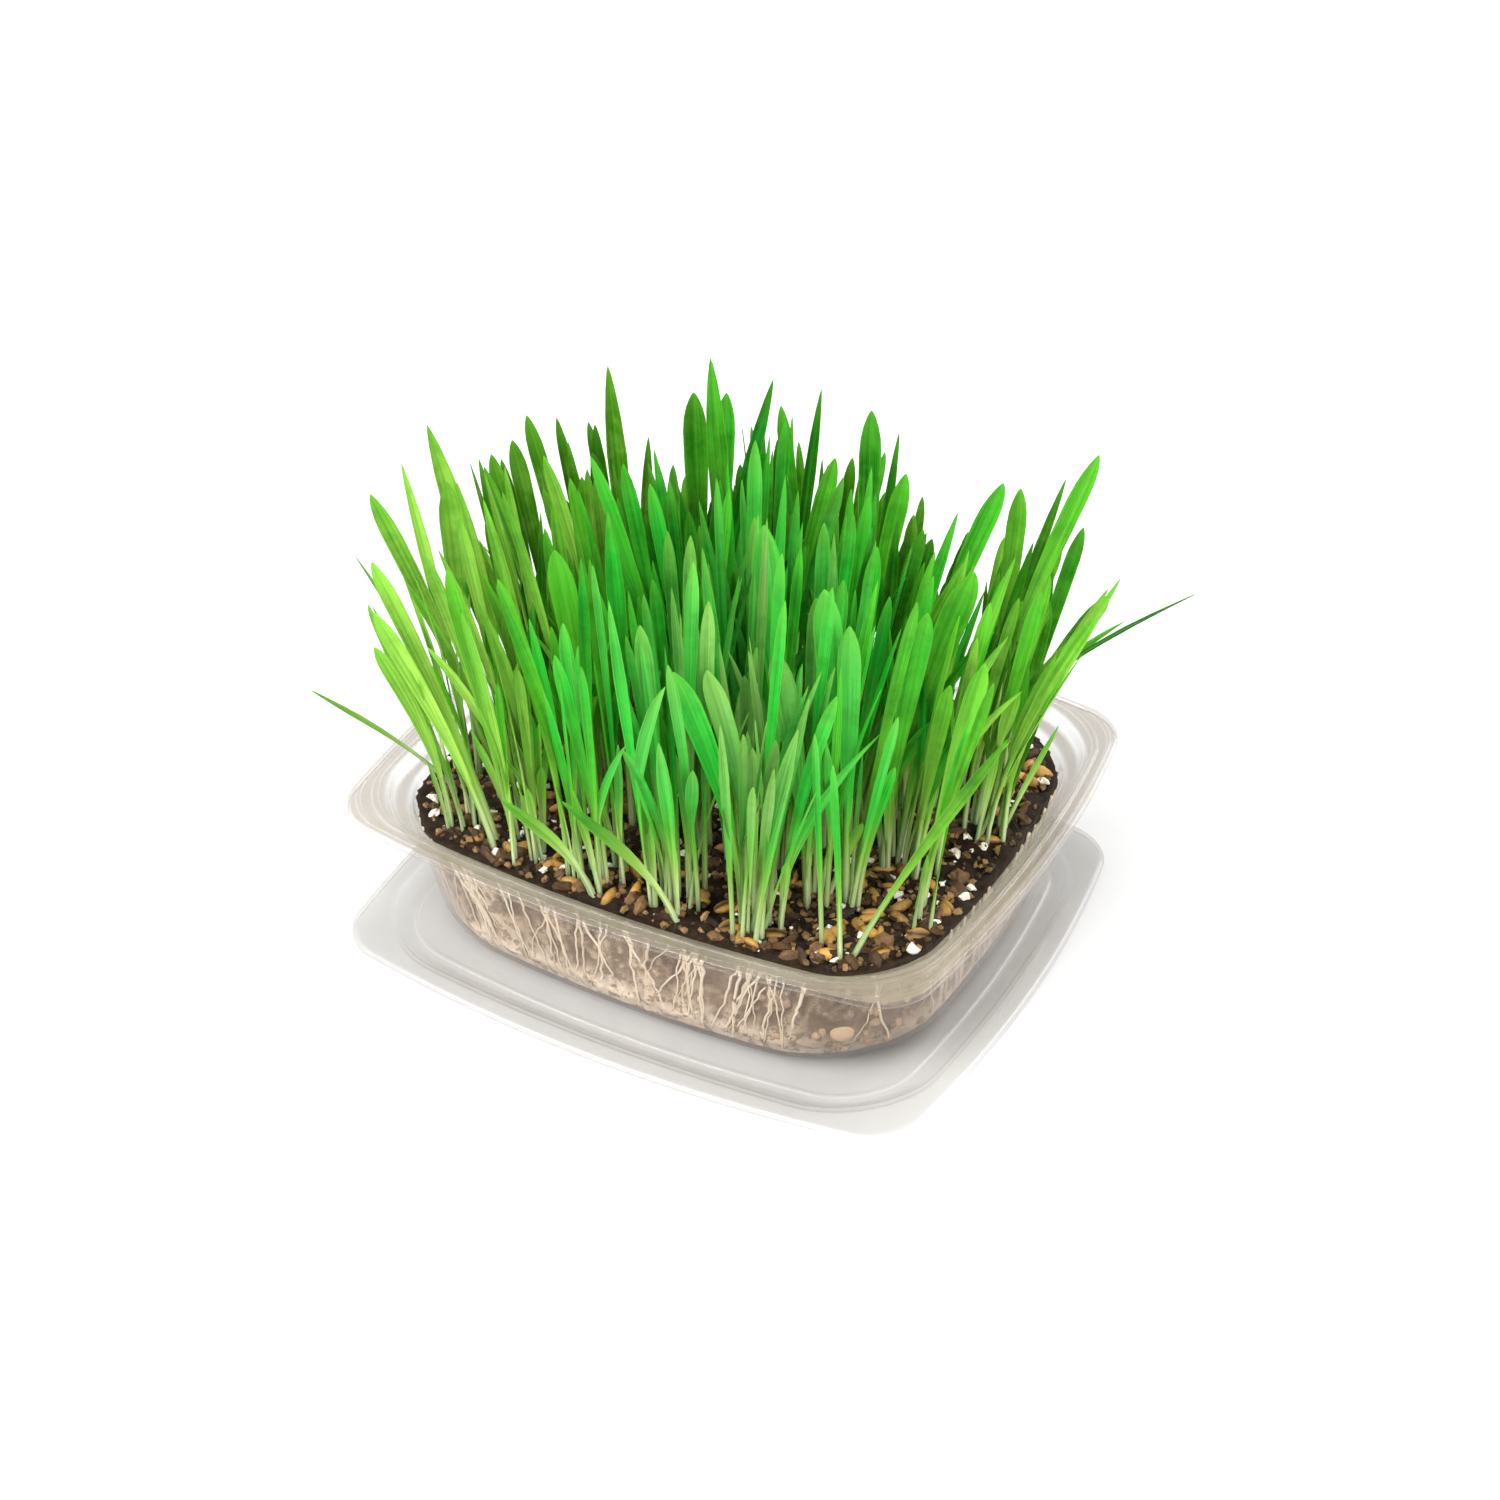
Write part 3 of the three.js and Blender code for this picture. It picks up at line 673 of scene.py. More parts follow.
def mottle_group() -> bpy.types.NodeTree:
    """Builds the shared mottle: two sizes of noise on a vector, as a mask and a height.

    Returns:
        The group.
    """
    group = bpy.data.node_groups.new("mottle", "ShaderNodeTree")
    for name, way, kind, value in (
            ("Vector", "INPUT", "Vector", None), ("Scale", "INPUT", "Float", 100.0),
            ("Fine Share", "INPUT", "Float", 0.35), ("Mask", "OUTPUT", "Float", None),
            ("Height", "OUTPUT", "Float", None)):
        socket = group.interface.new_socket(name, in_out=way, socket_type="NodeSocket" + kind)
        if value is not None:
            socket.default_value = value
    nodes = Nodes(group)
    source = group.nodes.new("NodeGroupInput").outputs
    place, scale = source["Vector"], source["Scale"]
    coarse = nodes.add("TexNoise", {"Vector": place, "Scale": scale, "Detail": 3.0})
    closer = nodes.math("MULTIPLY", scale, 4.3)
    grain = nodes.add("TexNoise", {"Vector": place, "Scale": closer, "Detail": 2.0})
    blend = nodes.add("Mix", {0: source["Fine Share"], 2: coarse.outputs[0],
                              3: grain.outputs[0]}, data_type="FLOAT").outputs[0]
    nodes.feed(group.nodes.new("NodeGroupOutput"),
               {"Mask": nodes.span(blend, 0.36, 0.64), "Height": blend})
    return group


@dataclass(frozen=True)
class Finish:
    """What every finish has: a name and the shared mottle."""

    name: str
    mottle: bpy.types.NodeTree

    def mottled(self, nodes: Nodes, scale: float, fine: float) -> bpy.types.NodeOutputs:
        """Places the mottle group on Object coordinates.

        Args:
            nodes: The material's nodes.
            scale: The coarse noise's scale.
            fine: The fine noise's share.

        Returns:
            Its mask and its height.
        """
        vector = nodes.add("TexCoord").outputs["Object"]
        return nodes.add("Group", {"Vector": vector, "Scale": scale, "Fine Share": fine},
                         node_tree=self.mottle).outputs


@dataclass(frozen=True)
class ClearPlastic(Finish):
    """Clear formed sheet: mostly see-through, greyer and glossier where it turns away."""

    face_alpha: float
    edge_alpha: float
    level_haze: float
    tint: Colour
    second_tone: float = 16
    shadow_share: float = 0.15

    def material(self) -> Material:
        """Builds the material.

        Returns:
            The material.
        """
        nodes = Coat(self.name)
        facing = nodes.add("LayerWeight", {"Blend": 0.5}).outputs["Facing"]
        veil = self.mottled(nodes, 60.0, 0.2)[0]
        turned = nodes.math("MULTIPLY_ADD", nodes.math("POWER", facing, 3.0), self.edge_alpha,
                            self.face_alpha)
        normal_parts = nodes.parts(nodes.add("NewGeometry").outputs["Normal"])
        level = nodes.math("POWER", nodes.math("ABSOLUTE", normal_parts[2]), 6.0)
        turned = nodes.math("MULTIPLY_ADD", level, self.level_haze, turned)
        seen = nodes.math("ADD", turned, nodes.math("MULTIPLY", veil, 0.03), clamp=True)
        shadow = nodes.add("LightPath").outputs["Is Shadow Ray"]
        clearer = nodes.span(shadow, 0.0, 1.0, 1.0, self.shadow_share)
        normal = nodes.bump(self.mottled(nodes, 14.0, 0.05)[1], 0.12, 0.001)
        nodes.feed(nodes.shader, {
            "Base Color": nodes.mix(veil, self.tint, tuple(c + self.second_tone for c in self.tint)),
            "Alpha": nodes.math("MULTIPLY", seen, clearer), "Normal": normal, "Roughness": 0.2,
            "IOR": 1.5})
        gloss = nodes.add("BsdfAnisotropic", {"Color": (255, 255, 255), "Roughness": 0.08,
                                              "Normal": normal})
        bounce = nodes.math("MULTIPLY_ADD", nodes.math("POWER", facing, 5.0), 0.6, 0.012)
        nodes.cover(nodes.math("MULTIPLY", bounce, clearer), gloss)
        return nodes.material


@dataclass(frozen=True)
class Leaf(Finish):
    """Grass blade: a pale stem that greens upwards, fine veins, and light that comes through."""

    through_share: float = 0.32
    vein_turn: float = 69.1

    def green(self, nodes: Nodes, mask: Socket, along: Socket) -> Socket:
        """The blade's own green by its hue, then deeper or fresher by its tone, which also carries
        painted light and shade, then mottled.

        The hue runs from yellower at the foot to greyer at the tip.

        Args:
            nodes: The material's nodes.
            mask: The mottle.
            along: The share of the blade's length.

        Returns:
            The colour.
        """
        drift = nodes.math("MULTIPLY_ADD", along, 0.36, -0.24)
        hue = nodes.math("ADD", nodes.attribute("hue"), drift, clamp=True)
        fresh = nodes.ramp(hue, {0.0: (178, 218, 92), 0.3: (104, 200, 44), 0.6: (36, 202, 58),
                                 0.8: (94, 204, 86), 1.0: (152, 200, 108)})
        deep = nodes.ramp(hue, {0.0: (70, 126, 6), 0.3: (38, 106, 0), 0.6: (0, 112, 8),
                                0.8: (8, 116, 12), 1.0: (58, 124, 32)})
        worn = nodes.math("MULTIPLY_ADD", mask, 0.5, -0.25)
        tone = nodes.math("ADD", nodes.attribute("tone"), worn, clamp=True)
        return nodes.mix(tone, deep, fresh)

    def stem(self, nodes: Nodes, body: Socket) -> Socket:
        """Fades the green to a pale stem below.

        Args:
            nodes: The material's nodes.
            body: The green.

        Returns:
            The colour.
        """
        rise = nodes.attribute("rise")
        pale = nodes.ramp(rise, {0.0: (236, 234, 204), 0.12: (218, 224, 164),
                                 0.3: (168, 204, 92), 0.6: (92, 184, 38)})
        return nodes.mix(nodes.span(rise, 0.16, 0.64, kind="SMOOTHSTEP"), pale, body)

    def material(self) -> Material:
        """Builds the material: the green, then streaks, a painted shade on one half of the fold,
        veins, rib, edges and tip.

        Returns:
            The material.
        """
        nodes = Coat(self.name)
        across, along, _ = nodes.parts(nodes.add("UVMap", uv_map="UVMap").outputs[0])
        mask = self.mottled(nodes, 90.0, 0.3)[0]
        body = self.stem(nodes, self.green(nodes, mask, along))
        stretched = nodes.add("CombineXYZ", {
            0: nodes.math("MULTIPLY", across, 7.0), 1: nodes.math("MULTIPLY", along, 2.2),
            2: nodes.math("MULTIPLY", nodes.attribute("hue"), 90.0)}).outputs[0]
        streak = nodes.add("TexNoise", {"Vector": stretched, "Scale": 1.0, "Detail": 3.0}).outputs[0]
        vein = nodes.math("SINE", nodes.math("MULTIPLY", across, self.vein_turn))
        middle = nodes.math("ABSOLUTE", nodes.math("SUBTRACT", across, 0.5))
        for share, low, high, start, end, colour, darker in (
                (streak, 0.36, 0.52, 0.4, 0.0, (80, 150, 60), True),
                (streak, 0.54, 0.7, 0.0, 0.24, (112, 216, 74), False),
                # painted shade: the half of the blade with u below 0.44 to 0.56 is darker, as one side
                # of the fold
                (across, 0.44, 0.56, 0.3, 0.0, (96, 160, 80), True),
                (vein, -1.0, 1.0, 0.0, 0.1, (110, 212, 76), False),
                (middle, 0.0, 0.1, 0.12, 0.0, (120, 214, 84), False)):
            share = nodes.span(share, low, high, start, end)
            body = nodes.mix(share, body, nodes.times(body, colour) if darker else colour)
        edge = nodes.span(middle, 0.42, 0.49, 0.0, 0.34)
        tip = nodes.span(along, 0.86, 1.0, 0.0, 0.3)
        body = nodes.mix(nodes.math("MAXIMUM", edge, tip), body, (136, 212, 66))
        normal = nodes.bump(nodes.math("MULTIPLY", vein, 0.5), 0.12, 0.0002)
        nodes.feed(nodes.shader, {
            "Base Color": body, "Normal": normal, "Roughness": nodes.span(mask, 0.0, 1.0, 0.4, 0.55),
            "Specular IOR Level": 0.09})
        through = nodes.add("BsdfTranslucent", {"Normal": normal,
                                                "Color": nodes.times(body, (176, 255, 84))})
        nodes.cover(self.through_share, through)
        return nodes.material


@dataclass(frozen=True)
class Soil(Finish):
    """Moist growing mix: dark crumbs on top, a pale mat of roots with dark gaps on the sides."""

    def top(self, nodes: Nodes, crumbs: Socket, patch: Socket) -> Socket:
        """The top's colour: dark, darker between the crumbs, with painted shade in the hollows, and a
        few browner patches.

        Args:
            nodes: The material's nodes.
            crumbs: The fine mottle.
            patch: The wide mottle.

        Returns:
            The colour.
        """
        dark = nodes.mix(crumbs, (14, 9, 5), (52, 35, 20))
        # painted shade: where crest is low, in the hollows between the crumbs, the top turns near
        # black
        dark = nodes.mix(nodes.attribute("crest"), (6, 4, 2), dark)
        return nodes.mix(nodes.math("MULTIPLY", patch, 0.4), dark, (42, 28, 15))

    def side(self, nodes: Nodes, crumbs: Socket, patch: Socket) -> Socket:
        """The side's colour: mix with pale roots over it, rosier and paler low down, partly a mat of
        roots and partly painted light over the shade at the foot, and grit in it.

        Args:
            nodes: The material's nodes.
            crumbs: The fine mottle.
            patch: The wide mottle.

        Returns:
            The colour.
        """
        blotch = nodes.mix(patch, (76, 54, 38), (128, 100, 74))
        blotch = nodes.mix(nodes.math("MULTIPLY", crumbs, 0.6), blotch, (56, 38, 26))
        pale = nodes.mix(patch, (192, 168, 138), (216, 198, 172))
        side = nodes.mix(nodes.attribute("strand"), blotch, pale)
        # low down the side turns pale: partly the mat of roots on the floor, partly painted light over
        # the shade at the tub's foot
        rosy_roots_and_light = nodes.mix(patch, (226, 204, 182), (238, 224, 208))
        side = nodes.mix(nodes.math("MULTIPLY", nodes.attribute("lower"), 0.8), side, rosy_roots_and_light)
        grit = nodes.span(self.mottled(nodes, 310.0, 0.3)[0], 0.56, 0.72, 0.0, 0.75)
        return nodes.mix(grit, side, (104, 82, 62))

    def material(self) -> Material:
        """Builds the material.

        Returns:
            The material.
        """
        nodes = Coat(self.name)
        crumbs, skin = self.mottled(nodes, 520.0, 0.5)
        patch = self.mottled(nodes, 120.0, 0.3)[0]
        nodes.feed(nodes.shader, {
            "Base Color": nodes.mix(nodes.attribute("root_mat"), self.top(nodes, crumbs, patch),
                                    self.side(nodes, crumbs, patch)),
            "Normal": nodes.bump(skin, 0.8, 0.0009),
            "Roughness": nodes.span(patch, 0.0, 1.0, 0.5, 0.9), "Specular IOR Level": 0.2})
        return nodes.material


@dataclass(frozen=True)
class Crumb(Finish):
    """A finish for small loose bits: two tones by bit, mottled, with a rough skin."""

    first: Colour
    second: Colour
    spot: Colour
    roughness: float
    skin: float
    dark: Colour = (40, 24, 12)

    def material(self) -> Material:
        """Builds the material.

        Returns:
            The material.
        """
        nodes = Coat(self.name)
        mask, height = self.mottled(nodes, 900.0, 0.4)
        body = nodes.mix(nodes.attribute("tone"), self.first, self.second)
        body = nodes.mix(nodes.math("MULTIPLY", mask, 0.4), body, self.spot)
        rough = nodes.span(mask, 0.0, 1.0, self.roughness - 0.08, self.roughness + 0.08)
        # the furrow attribute mixes in the dark colour: painted shade in a grain's crease, and darker
        # ends
        nodes.feed(nodes.shader, {
            "Base Color": nodes.mix(nodes.attribute("furrow"), body, self.dark),
            "Normal": nodes.bump(height, self.skin, 0.0003), "Roughness": rough,
            "Specular IOR Level": 0.3})
        return nodes.material


# ---------- the formed plastic ----------


@dataclass
class FormedSheet:
    """A sheet of clear plastic formed over stations, closed by its flat floor."""

    name: str
    node: str
    stations: list[Station]
    shift: Array
    rounding: float = 1.1
    arc_steps: int = 14
    side_steps: int = 24

    def build(self, finish: ClearPlastic) -> None:
        """Lofts the rounded profile through its outlines and closes both ends with fans.

        Args:
            finish: Its finish.
        """
        profile = rounded_profile(self.stations, self.rounding)
        rings = level_rings(profile, self.arc_steps, self.side_steps) + self.shift
        points = np.concatenate([rings.reshape(-1, 3), rings[[0, -1]].mean(axis=1)])
        piece = make_piece(self.name, points, closed_faces(*rings.shape[:2]), finish.material())
        settle(piece, self.node)


# ---------- the grass ----------


@dataclass
class Blade:
    """One shoot: its root, height, lean, width and turn."""

    root: Array
    height: float
    lean: Array
    bend: float
    width: float
    tip: Tip
    turn: float
    twist: float
    fitted: bool = False

    def width_at(self, t: Array, opening: float = 0.46) -> Array:
        """A stem, a smooth widening from 0.28 over the opening, then a closing tip.

        Args:
            t: Shares of the blade's length.
            opening: The share over which it widens.

        Returns:
            The widths.
        """
        rise = np.clip((t - 0.28) / opening, 0, 1)
        broad = STEM_WIDTH + (self.width - STEM_WIDTH) * smooth_step(rise)
        close = np.clip((t - self.tip.value) / (1 - self.tip.value), 0, None)
        return broad * (1 - close * close) ** 0.75

    def leans(self) -> bool:
        """True for a blade whose tip lies out by more than half its height."""
        return math.hypot(*self.lean) > 0.5 * self.height

    def centre_at(self, t: Array) -> Array:
        """The middle line (n, 3): its sideways travel is the lean times a power of t."""
        flat = self.root + self.lean * (t**self.bend)[:, None]
        return np.column_stack([flat, SOIL_TOP - ROOT_SINK + (self.height + ROOT_SINK) * t])

    def cuts(self, heights: Array) -> Array:
        """The blade's two edges at the test heights, straight between its solid's levels.

        Args:
            heights: Heights above the soil.

        Returns:
            Rows (n, 4) of ax, ay, bx, by; NaN where the blade doesn't reach.
        """
        levels = np.array(CUT_LEVELS[self.tip])
        middle = self.centre_at(levels)[:, :2]
        half = heading(self.turn + self.twist * levels) * (self.width_at(levels) / 2)[:, None]
        edges = np.concatenate([middle - half, middle + half], axis=1)
        t = (heights + ROOT_SINK) / (self.height + ROOT_SINK)
        rows = np.stack([np.interp(t, levels, column) for column in edges.T], axis=1)
        rows[t > 1] = np.nan
        return rows


def point_to_segment(p: Array, a: Array, b: Array) -> Array:
    """The distance from points to segments.

    Args:
        p: The points (..., 2).
        a: The segments' first ends.
        b: Their other ends.

    Returns:
        Distances (...).
    """
    step = b - a
    along = ((p - a) * step).sum(-1) / ((step * step).sum(-1) + 1e-12)
    nearest = a + step * np.clip(along, 0, 1)[..., None]
    return np.hypot(*np.moveaxis(p - nearest, -1, 0))


def least_distance(row: Array, others: Array) -> float:
    """The least distance between a blade's cuts and those of others.

    Args:
        row: The blade's cuts (n, 4).
        others: The others' (m, n, 4).

    Returns:
        The distance, infinite where they share no height.
    """
    a, b = row[:, :2], row[:, 2:]
    c, d = others[..., :2], others[..., 2:]

    def side(p: Array, q: Array, r: Array) -> Array:
        """Which side of the line p to q the point r is on."""
        return (q - p)[..., 0] * (r - p)[..., 1] - (q - p)[..., 1] * (r - p)[..., 0]

    crossing = (side(a, b, c) * side(a, b, d) < 0) & (side(c, d, a) * side(c, d, b) < 0)
    ends = ((a, c, d), (b, c, d), (c, a, b), (d, a, b))
    apart = np.minimum.reduce([point_to_segment(*end) for end in ends])
    apart = np.where(crossing, 0.0, apart)
    return float(np.nanmin(np.where(np.isnan(apart), np.inf, apart)))


@dataclass
class Tuft:
    """A tuft's place, its crown's radius, how far out its stems root, and its blades."""

    place: Array
    radius: float
    reach: float
    blades: list[Blade] = field(default_factory=list)

    def spot(self, out: float, angle: float) -> Array:
        """The place at a distance and an angle from its middle."""
        return self.place + out * heading(angle)


def fine_levels(shoulder: float) -> Array:
    """Nine even shares of a leaf's length up to its shoulder, then four that close on its tip."""
    closing = shoulder + (1 - shoulder) * np.array([0.36, 0.63, 0.83, 0.95])
    return np.concatenate([np.linspace(0, shoulder, 9), closing])


@dataclass
class LeafSurface:
    """A leaf as rings of four points along its middle line, closed by its tip.

    Each ring has the left edge, the front's middle, the right edge and the back's middle. The
    middle is set back by the fold's share of the width, so the leaf is a shallow trough.
    """

    centre: Array
    angle: Array
    width: Array
    thick: Array
    fold: Array
    share: Array
    tip: Array
    shade: float = 0.0

    def points(self) -> Array:
        """The rings' points in order, then the tip.

        Returns:
            Points (n, 3).
        """
        across = heading(self.angle)[:, None]
        half, none = self.width / 2, np.zeros(len(self.width))
        trough = self.fold * self.width
        sideways = np.stack([-half, none, half, none], axis=1)[..., None]
        back = np.stack([-trough / 3, trough * 2 / 3 - self.thick / 2, -trough / 3,
                         trough * 2 / 3 + self.thick / 2], axis=1)[..., None]
        flat = self.centre[:, None, :2] + sideways * across + back * left_of(across)
        height = np.repeat(self.centre[:, 2], 4)[:, None]
        rings = np.concatenate([flat.reshape(-1, 2), height], axis=1)
        return np.concatenate([rings, self.tip])

    def faces(self) -> list[Array]:
        """The faces.

        Returns:
            The sides, the tip's fan and the closed root.
        """
        tip = len(self.width) * 4
        return [loft_faces(len(self.width), 4), cap_faces(4, tip - 4, tip, up=True),
                np.array([[3, 2, 1, 0]])]

    def uv(self) -> Array:
        """Across the leaf as u, along it as v."""
        side = np.append(np.tile([0, 0.5, 1, 0.5], len(self.width)), 0.5)
        return np.stack([side, np.append(np.repeat(self.share, 4), 1.0)], axis=1)


@dataclass
class Grass:
    """All the shoots, placed by the same draws as their solids."""

    wall_top: Station = Station(SOIL_INSET, 23.4, SOIL_TOP)
    side_leaf_share: float = 0.7
    extra_per_tuft: int = 12
    fitted_spread: float = 0.35
    opening: float = 0.56
    fitted_slim: float = 0.98
    drawn_slim: float = 0.72
    most_blades: int = 900

    def places(self) -> list[Tuft]:
        """Tufts in staggered rows, smaller by the wall, the corner ones drawn in.

        Returns:
            The tufts, still bare.
        """
        edge = outline(self.wall_top, 5, 5)
        tufts = []
        for row, column in np.ndindex(TUFT_ROWS, TUFT_COLUMNS):
            last = TUFT_COLUMNS - 2 + row % 2
            if column > last:
                continue
            corner = column in (0, last) and row in (0, TUFT_ROWS - 1)
            draw, most = (CORNER_DRAW, CORNER_CROWN) if corner else (1.0, CROWN_RADIUS)
            step = np.array([column - last / 2, row - (TUFT_ROWS - 1) / 2])
            place = step * (TUFT_PITCH, TUFT_ROW) * draw
            radius = min(most, edge_distance(edge, place) - CROWN_MARGIN)
            if radius >= CROWN_LEAST:
                tufts.append(Tuft(place, radius, radius * math.cos(math.pi / 6) - STEM_MARGIN))
        return tufts

    def standing(self, place: Array) -> float:
        """The share of the greatest height at a place: a dome less a bell in each valley.

        Args:
            place: The place.

        Returns:
            The share.
        """
        x, y = place
        share = 1 - 0.2 * (x / 75) ** 2 - 0.17 * ((y - TALL_Y) / 60) ** 2
        for valley_x, valley_y, reach, drop in VALLEYS:
            away = ((x - valley_x) ** 2 + (y - valley_y) ** 2) / (reach * reach)
            share *= 1 - drop * math.exp(-away)
        return share

    def drawn(self, random: RandomSource, root: Array) -> Blade:
        """A blade drawn at random: it leans out with its distance from the middle.

        Args:
            random: The draws.
            root: Where it stands.

        Returns:
            The blade.
        """
        height = DRAWN_TALLEST * self.standing(root) * (0.5 + 0.5 * math.sqrt(random()))
        lean = height * np.array([0.2 * (root[0] / 70) + 0.13 * random.spread(),
                                  0.09 * ((root[1] - 10) / 60) + 0.11 * random.spread()])
        return Blade(root, height, lean, 1.1 + 0.9 * random(), 3.5 + 2.9 * random(),
                     Tip.ROUND if random() < 0.65 else Tip.POINTED,
                     0.4 + 1.3 * random.spread(), 0.9 * random.spread())

    def outer(self, random: RandomSource, tuft: Tuft, row: tuple) -> Blade:
        """One of the outer blades, its root drawn in to its tuft and its tip kept.

        Args:
            random: The draws.
            tuft: The nearest tuft.
            row: The blade's row of OUTER_BLADES.

        Returns:
            The blade.
        """
        x, y, lean_x, lean_y, height, width, bend, is_round = row
        out = (x, y) - tuft.place
        root = tuft.place + out * min(1.0, tuft.reach / max(math.hypot(*out), 1e-9))
        return Blade(root, height, (x + lean_x, y + lean_y) - root, bend, width,
                     Tip.ROUND if is_round else Tip.POINTED,
                     FITTED_TURN + 0.8 * random.spread(), 0.5 * random.spread(), fitted=True)

    def grow(self) -> list[Tuft]:
        """Grows every tuft: a blade too near another is drawn again, up to its tries.

        Returns:
            The tufts that hold blades.
        """
        random = RandomSource(SEED)
        heights = np.arange(0, TALLEST + CUT_STEP + 1e-6, CUT_STEP)
        grown = np.full((self.most_blades, len(heights), 4), np.nan)
        held = 0
        tufts = self.places()

        def plant(tuft: Tuft, draw: Callable[[], Blade]) -> None:
            """Tries draws until one is clear of all that has grown.

            Args:
                tuft: The tuft that it joins.
                draw: Draws a blade.
            """
            nonlocal held
            for _ in range(BLADE_TRIES):
                blade = draw()
                cuts = blade.cuts(heights)
                if held == 0 or least_distance(cuts, grown[:held]) >= BLADE_CLEAR:
                    grown[held] = cuts
                    held += 1
                    tuft.blades.append(blade)
                    return

        for row in OUTER_BLADES:
            nearest = min(tufts, key=lambda tuft: math.dist(row[:2], tuft.place))
            plant(nearest, lambda: self.outer(random, nearest, row))
        for tuft in tufts:
            phase = FULL_TURN * random()
            wanted = math.floor(BLADES_PER_TUFT * (tuft.radius / CROWN_RADIUS) ** 2 + 0.5)
            count = wanted - len(tuft.blades)
            for i in range(count):
                out = tuft.reach * math.sqrt((i + 0.5) / count)
                root = tuft.spot(out, phase + i * GOLDEN_TURN)
                if math.dist(root, BARE_CORNER) >= BARE_RADIUS:
                    plant(tuft, lambda: self.drawn(random, root))
        return [tuft for tuft in tufts if tuft.blades]

    def shoot(self, blade: Blade, slim: float) -> LeafSurface:
        """A shoot's surface: a stem that opens to a blade with a shallow fold.

        A fitted blade shows more of its face: its turn is drawn towards the turn they share.

        Args:
            blade: The shoot.
            slim: Its share of the solid's width.

        Returns:
            The surface.
        """
        t = fine_levels(blade.tip.value)
        leafy = np.clip((t - 0.2) / 0.3, 0, 1)
        thick = (1.5 * (1 - leafy) + 0.42 * leafy) * slim
        angle = blade.turn + blade.twist * t
        if blade.fitted:
            angle = FITTED_TURN + (angle - FITTED_TURN) * self.fitted_spread
        shade = -1.0 if blade.fitted and blade.leans() else 0.0
        return LeafSurface(blade.centre_at(t), angle, blade.width_at(t, self.opening) * slim,
                           thick, 0.14 * leafy, t, blade.centre_at(np.array([1.0])), shade)

    def side_leaf(self, blade: Blade, random: Generator) -> LeafSurface:
        """A narrow younger leaf that leaves the stem part way up and draws away from it.

        Its middle line follows the shoot's, plus a sideways travel by s to the power 1.5 and a
        droop by s cubed, where s is the share of its own length.

        Args:
            blade: The shoot.
            random: The draws.

        Returns:
            The surface.
        """
        low, high = random.uniform(0.2, 0.42), random.uniform(0.6, 0.88)
        s = fine_levels(0.55)
        ends = np.append(s, 1.0)
        centre = blade.centre_at(low + (high - low) * ends)
        way = random.uniform(0, FULL_TURN)
        out = (blade.height + ROOT_SINK) * (high - low) * random.uniform(0.1, 0.34)
        centre[:, :2] += out * (ends**1.5)[:, None] * heading(way)
        centre[:, 2] -= 0.3 * out * ends**3
        turn = blade.turn + random.normal(0, 0.5)
        angle = turn + random.normal(0, 0.5) * s
        widest = random.uniform(2.2, 4.0)
        close = np.clip((s - 0.55) / 0.45, 0, None)
        width = (1.3 + (widest - 1.3) * smooth_step(np.clip(s / 0.45, 0, 1))) * (1 - close**2) ** 0.85
        return LeafSurface(centre[:-1], angle, width, np.full(len(s), 0.4), np.full(len(s), 0.13),
                           0.45 + 0.55 * s, centre[-1:])

    def extra_shoot(self, tuft: Tuft, random: Generator) -> Blade:
        """A thin, shorter shoot among a tuft's blades.

        Args:
            tuft: The tuft.
            random: The draws.

        Returns:
            The shoot.
        """
        angle = random.uniform(0, FULL_TURN)
        root = tuft.spot(tuft.reach * math.sqrt(random.random()), angle)
        height = DRAWN_TALLEST * self.standing(root) * random.uniform(0.22, 0.76)
        lean = height * random.normal(0, 0.12, 2) + height * (root * (0.18, 0.08) / (70, 60))
        tip = Tip.ROUND if random.random() < 0.4 else Tip.POINTED
        return Blade(root, height, lean, random.uniform(1.1, 1.8), random.uniform(2.4, 4.4), tip,
                     0.5 + random.normal(0, 0.8), random.normal(0, 0.5))

    def dress(self, tuft: Tuft, random: Generator) -> list[LeafSurface]:
        """All the leaves of a tuft: its shoots, their side leaves and thin shoots between.

        Args:
            tuft: The tuft.
            random: The draws.

        Returns:
            The leaves.
        """
        leaves = []
        for blade in tuft.blades:
            leaves.append(self.shoot(blade, self.fitted_slim if blade.fitted else self.drawn_slim))
            if blade.height > 45 and random.random() < self.side_leaf_share:
                leaves.append(self.side_leaf(blade, random))
        for _ in range(round(self.extra_per_tuft * min(1.0, len(tuft.blades) / 8))):
            leaves.append(self.shoot(self.extra_shoot(tuft, random), self.drawn_slim))
        return leaves

    def paint(self, piece: Object, leaves: list[LeafSurface], height: Array,
              random: Generator) -> None:
        """Gives every leaf a hue and a tone by where its tip stands, seen from the front.

        Both drift from the left to the right and from the front to the back. The tone is painted
        light and shade: fresher at the front and to the left, where the light falls, deeper at the
        back, and on the left lighter low down and darker high up.

        Args:
            piece: The clump.
            leaves: Its leaves.
            height: Heights above the soil (leaves, points).
            random: The draws.
        """
        tip = np.concatenate([leaf.tip for leaf in leaves])
        side = tip[:, 0] * FRONT[0] + tip[:, 1] * FRONT[1]
        back = tip[:, 1] * FRONT[0] - tip[:, 0] * FRONT[1]
        left, right = np.clip(-side / 75, 0, 1), np.clip(side / 75, 0, 1)
        ahead, behind = np.clip(-back / 50, 0, 1), np.clip(back / 55, 0, 1)
        tone = random.random(len(leaves)) + np.array([leaf.shade for leaf in leaves]) + 0.15
        # painted light and shade: fresher at the front and to the left, a little deeper to the right,
        # deeper at the back
        tone += 0.42 * ahead - 0.55 * behind + (0.4 * left - 0.05 * right) * (1 - behind)
        hue = 0.62 - 0.6 * left**1.1 - 0.4 * right - 0.3 * behind
        hue += ahead * (0.34 * (1 - left) * (1 - right) - 0.16 * right)
        hue += 0.12 * random.normal(0, 1, len(leaves))
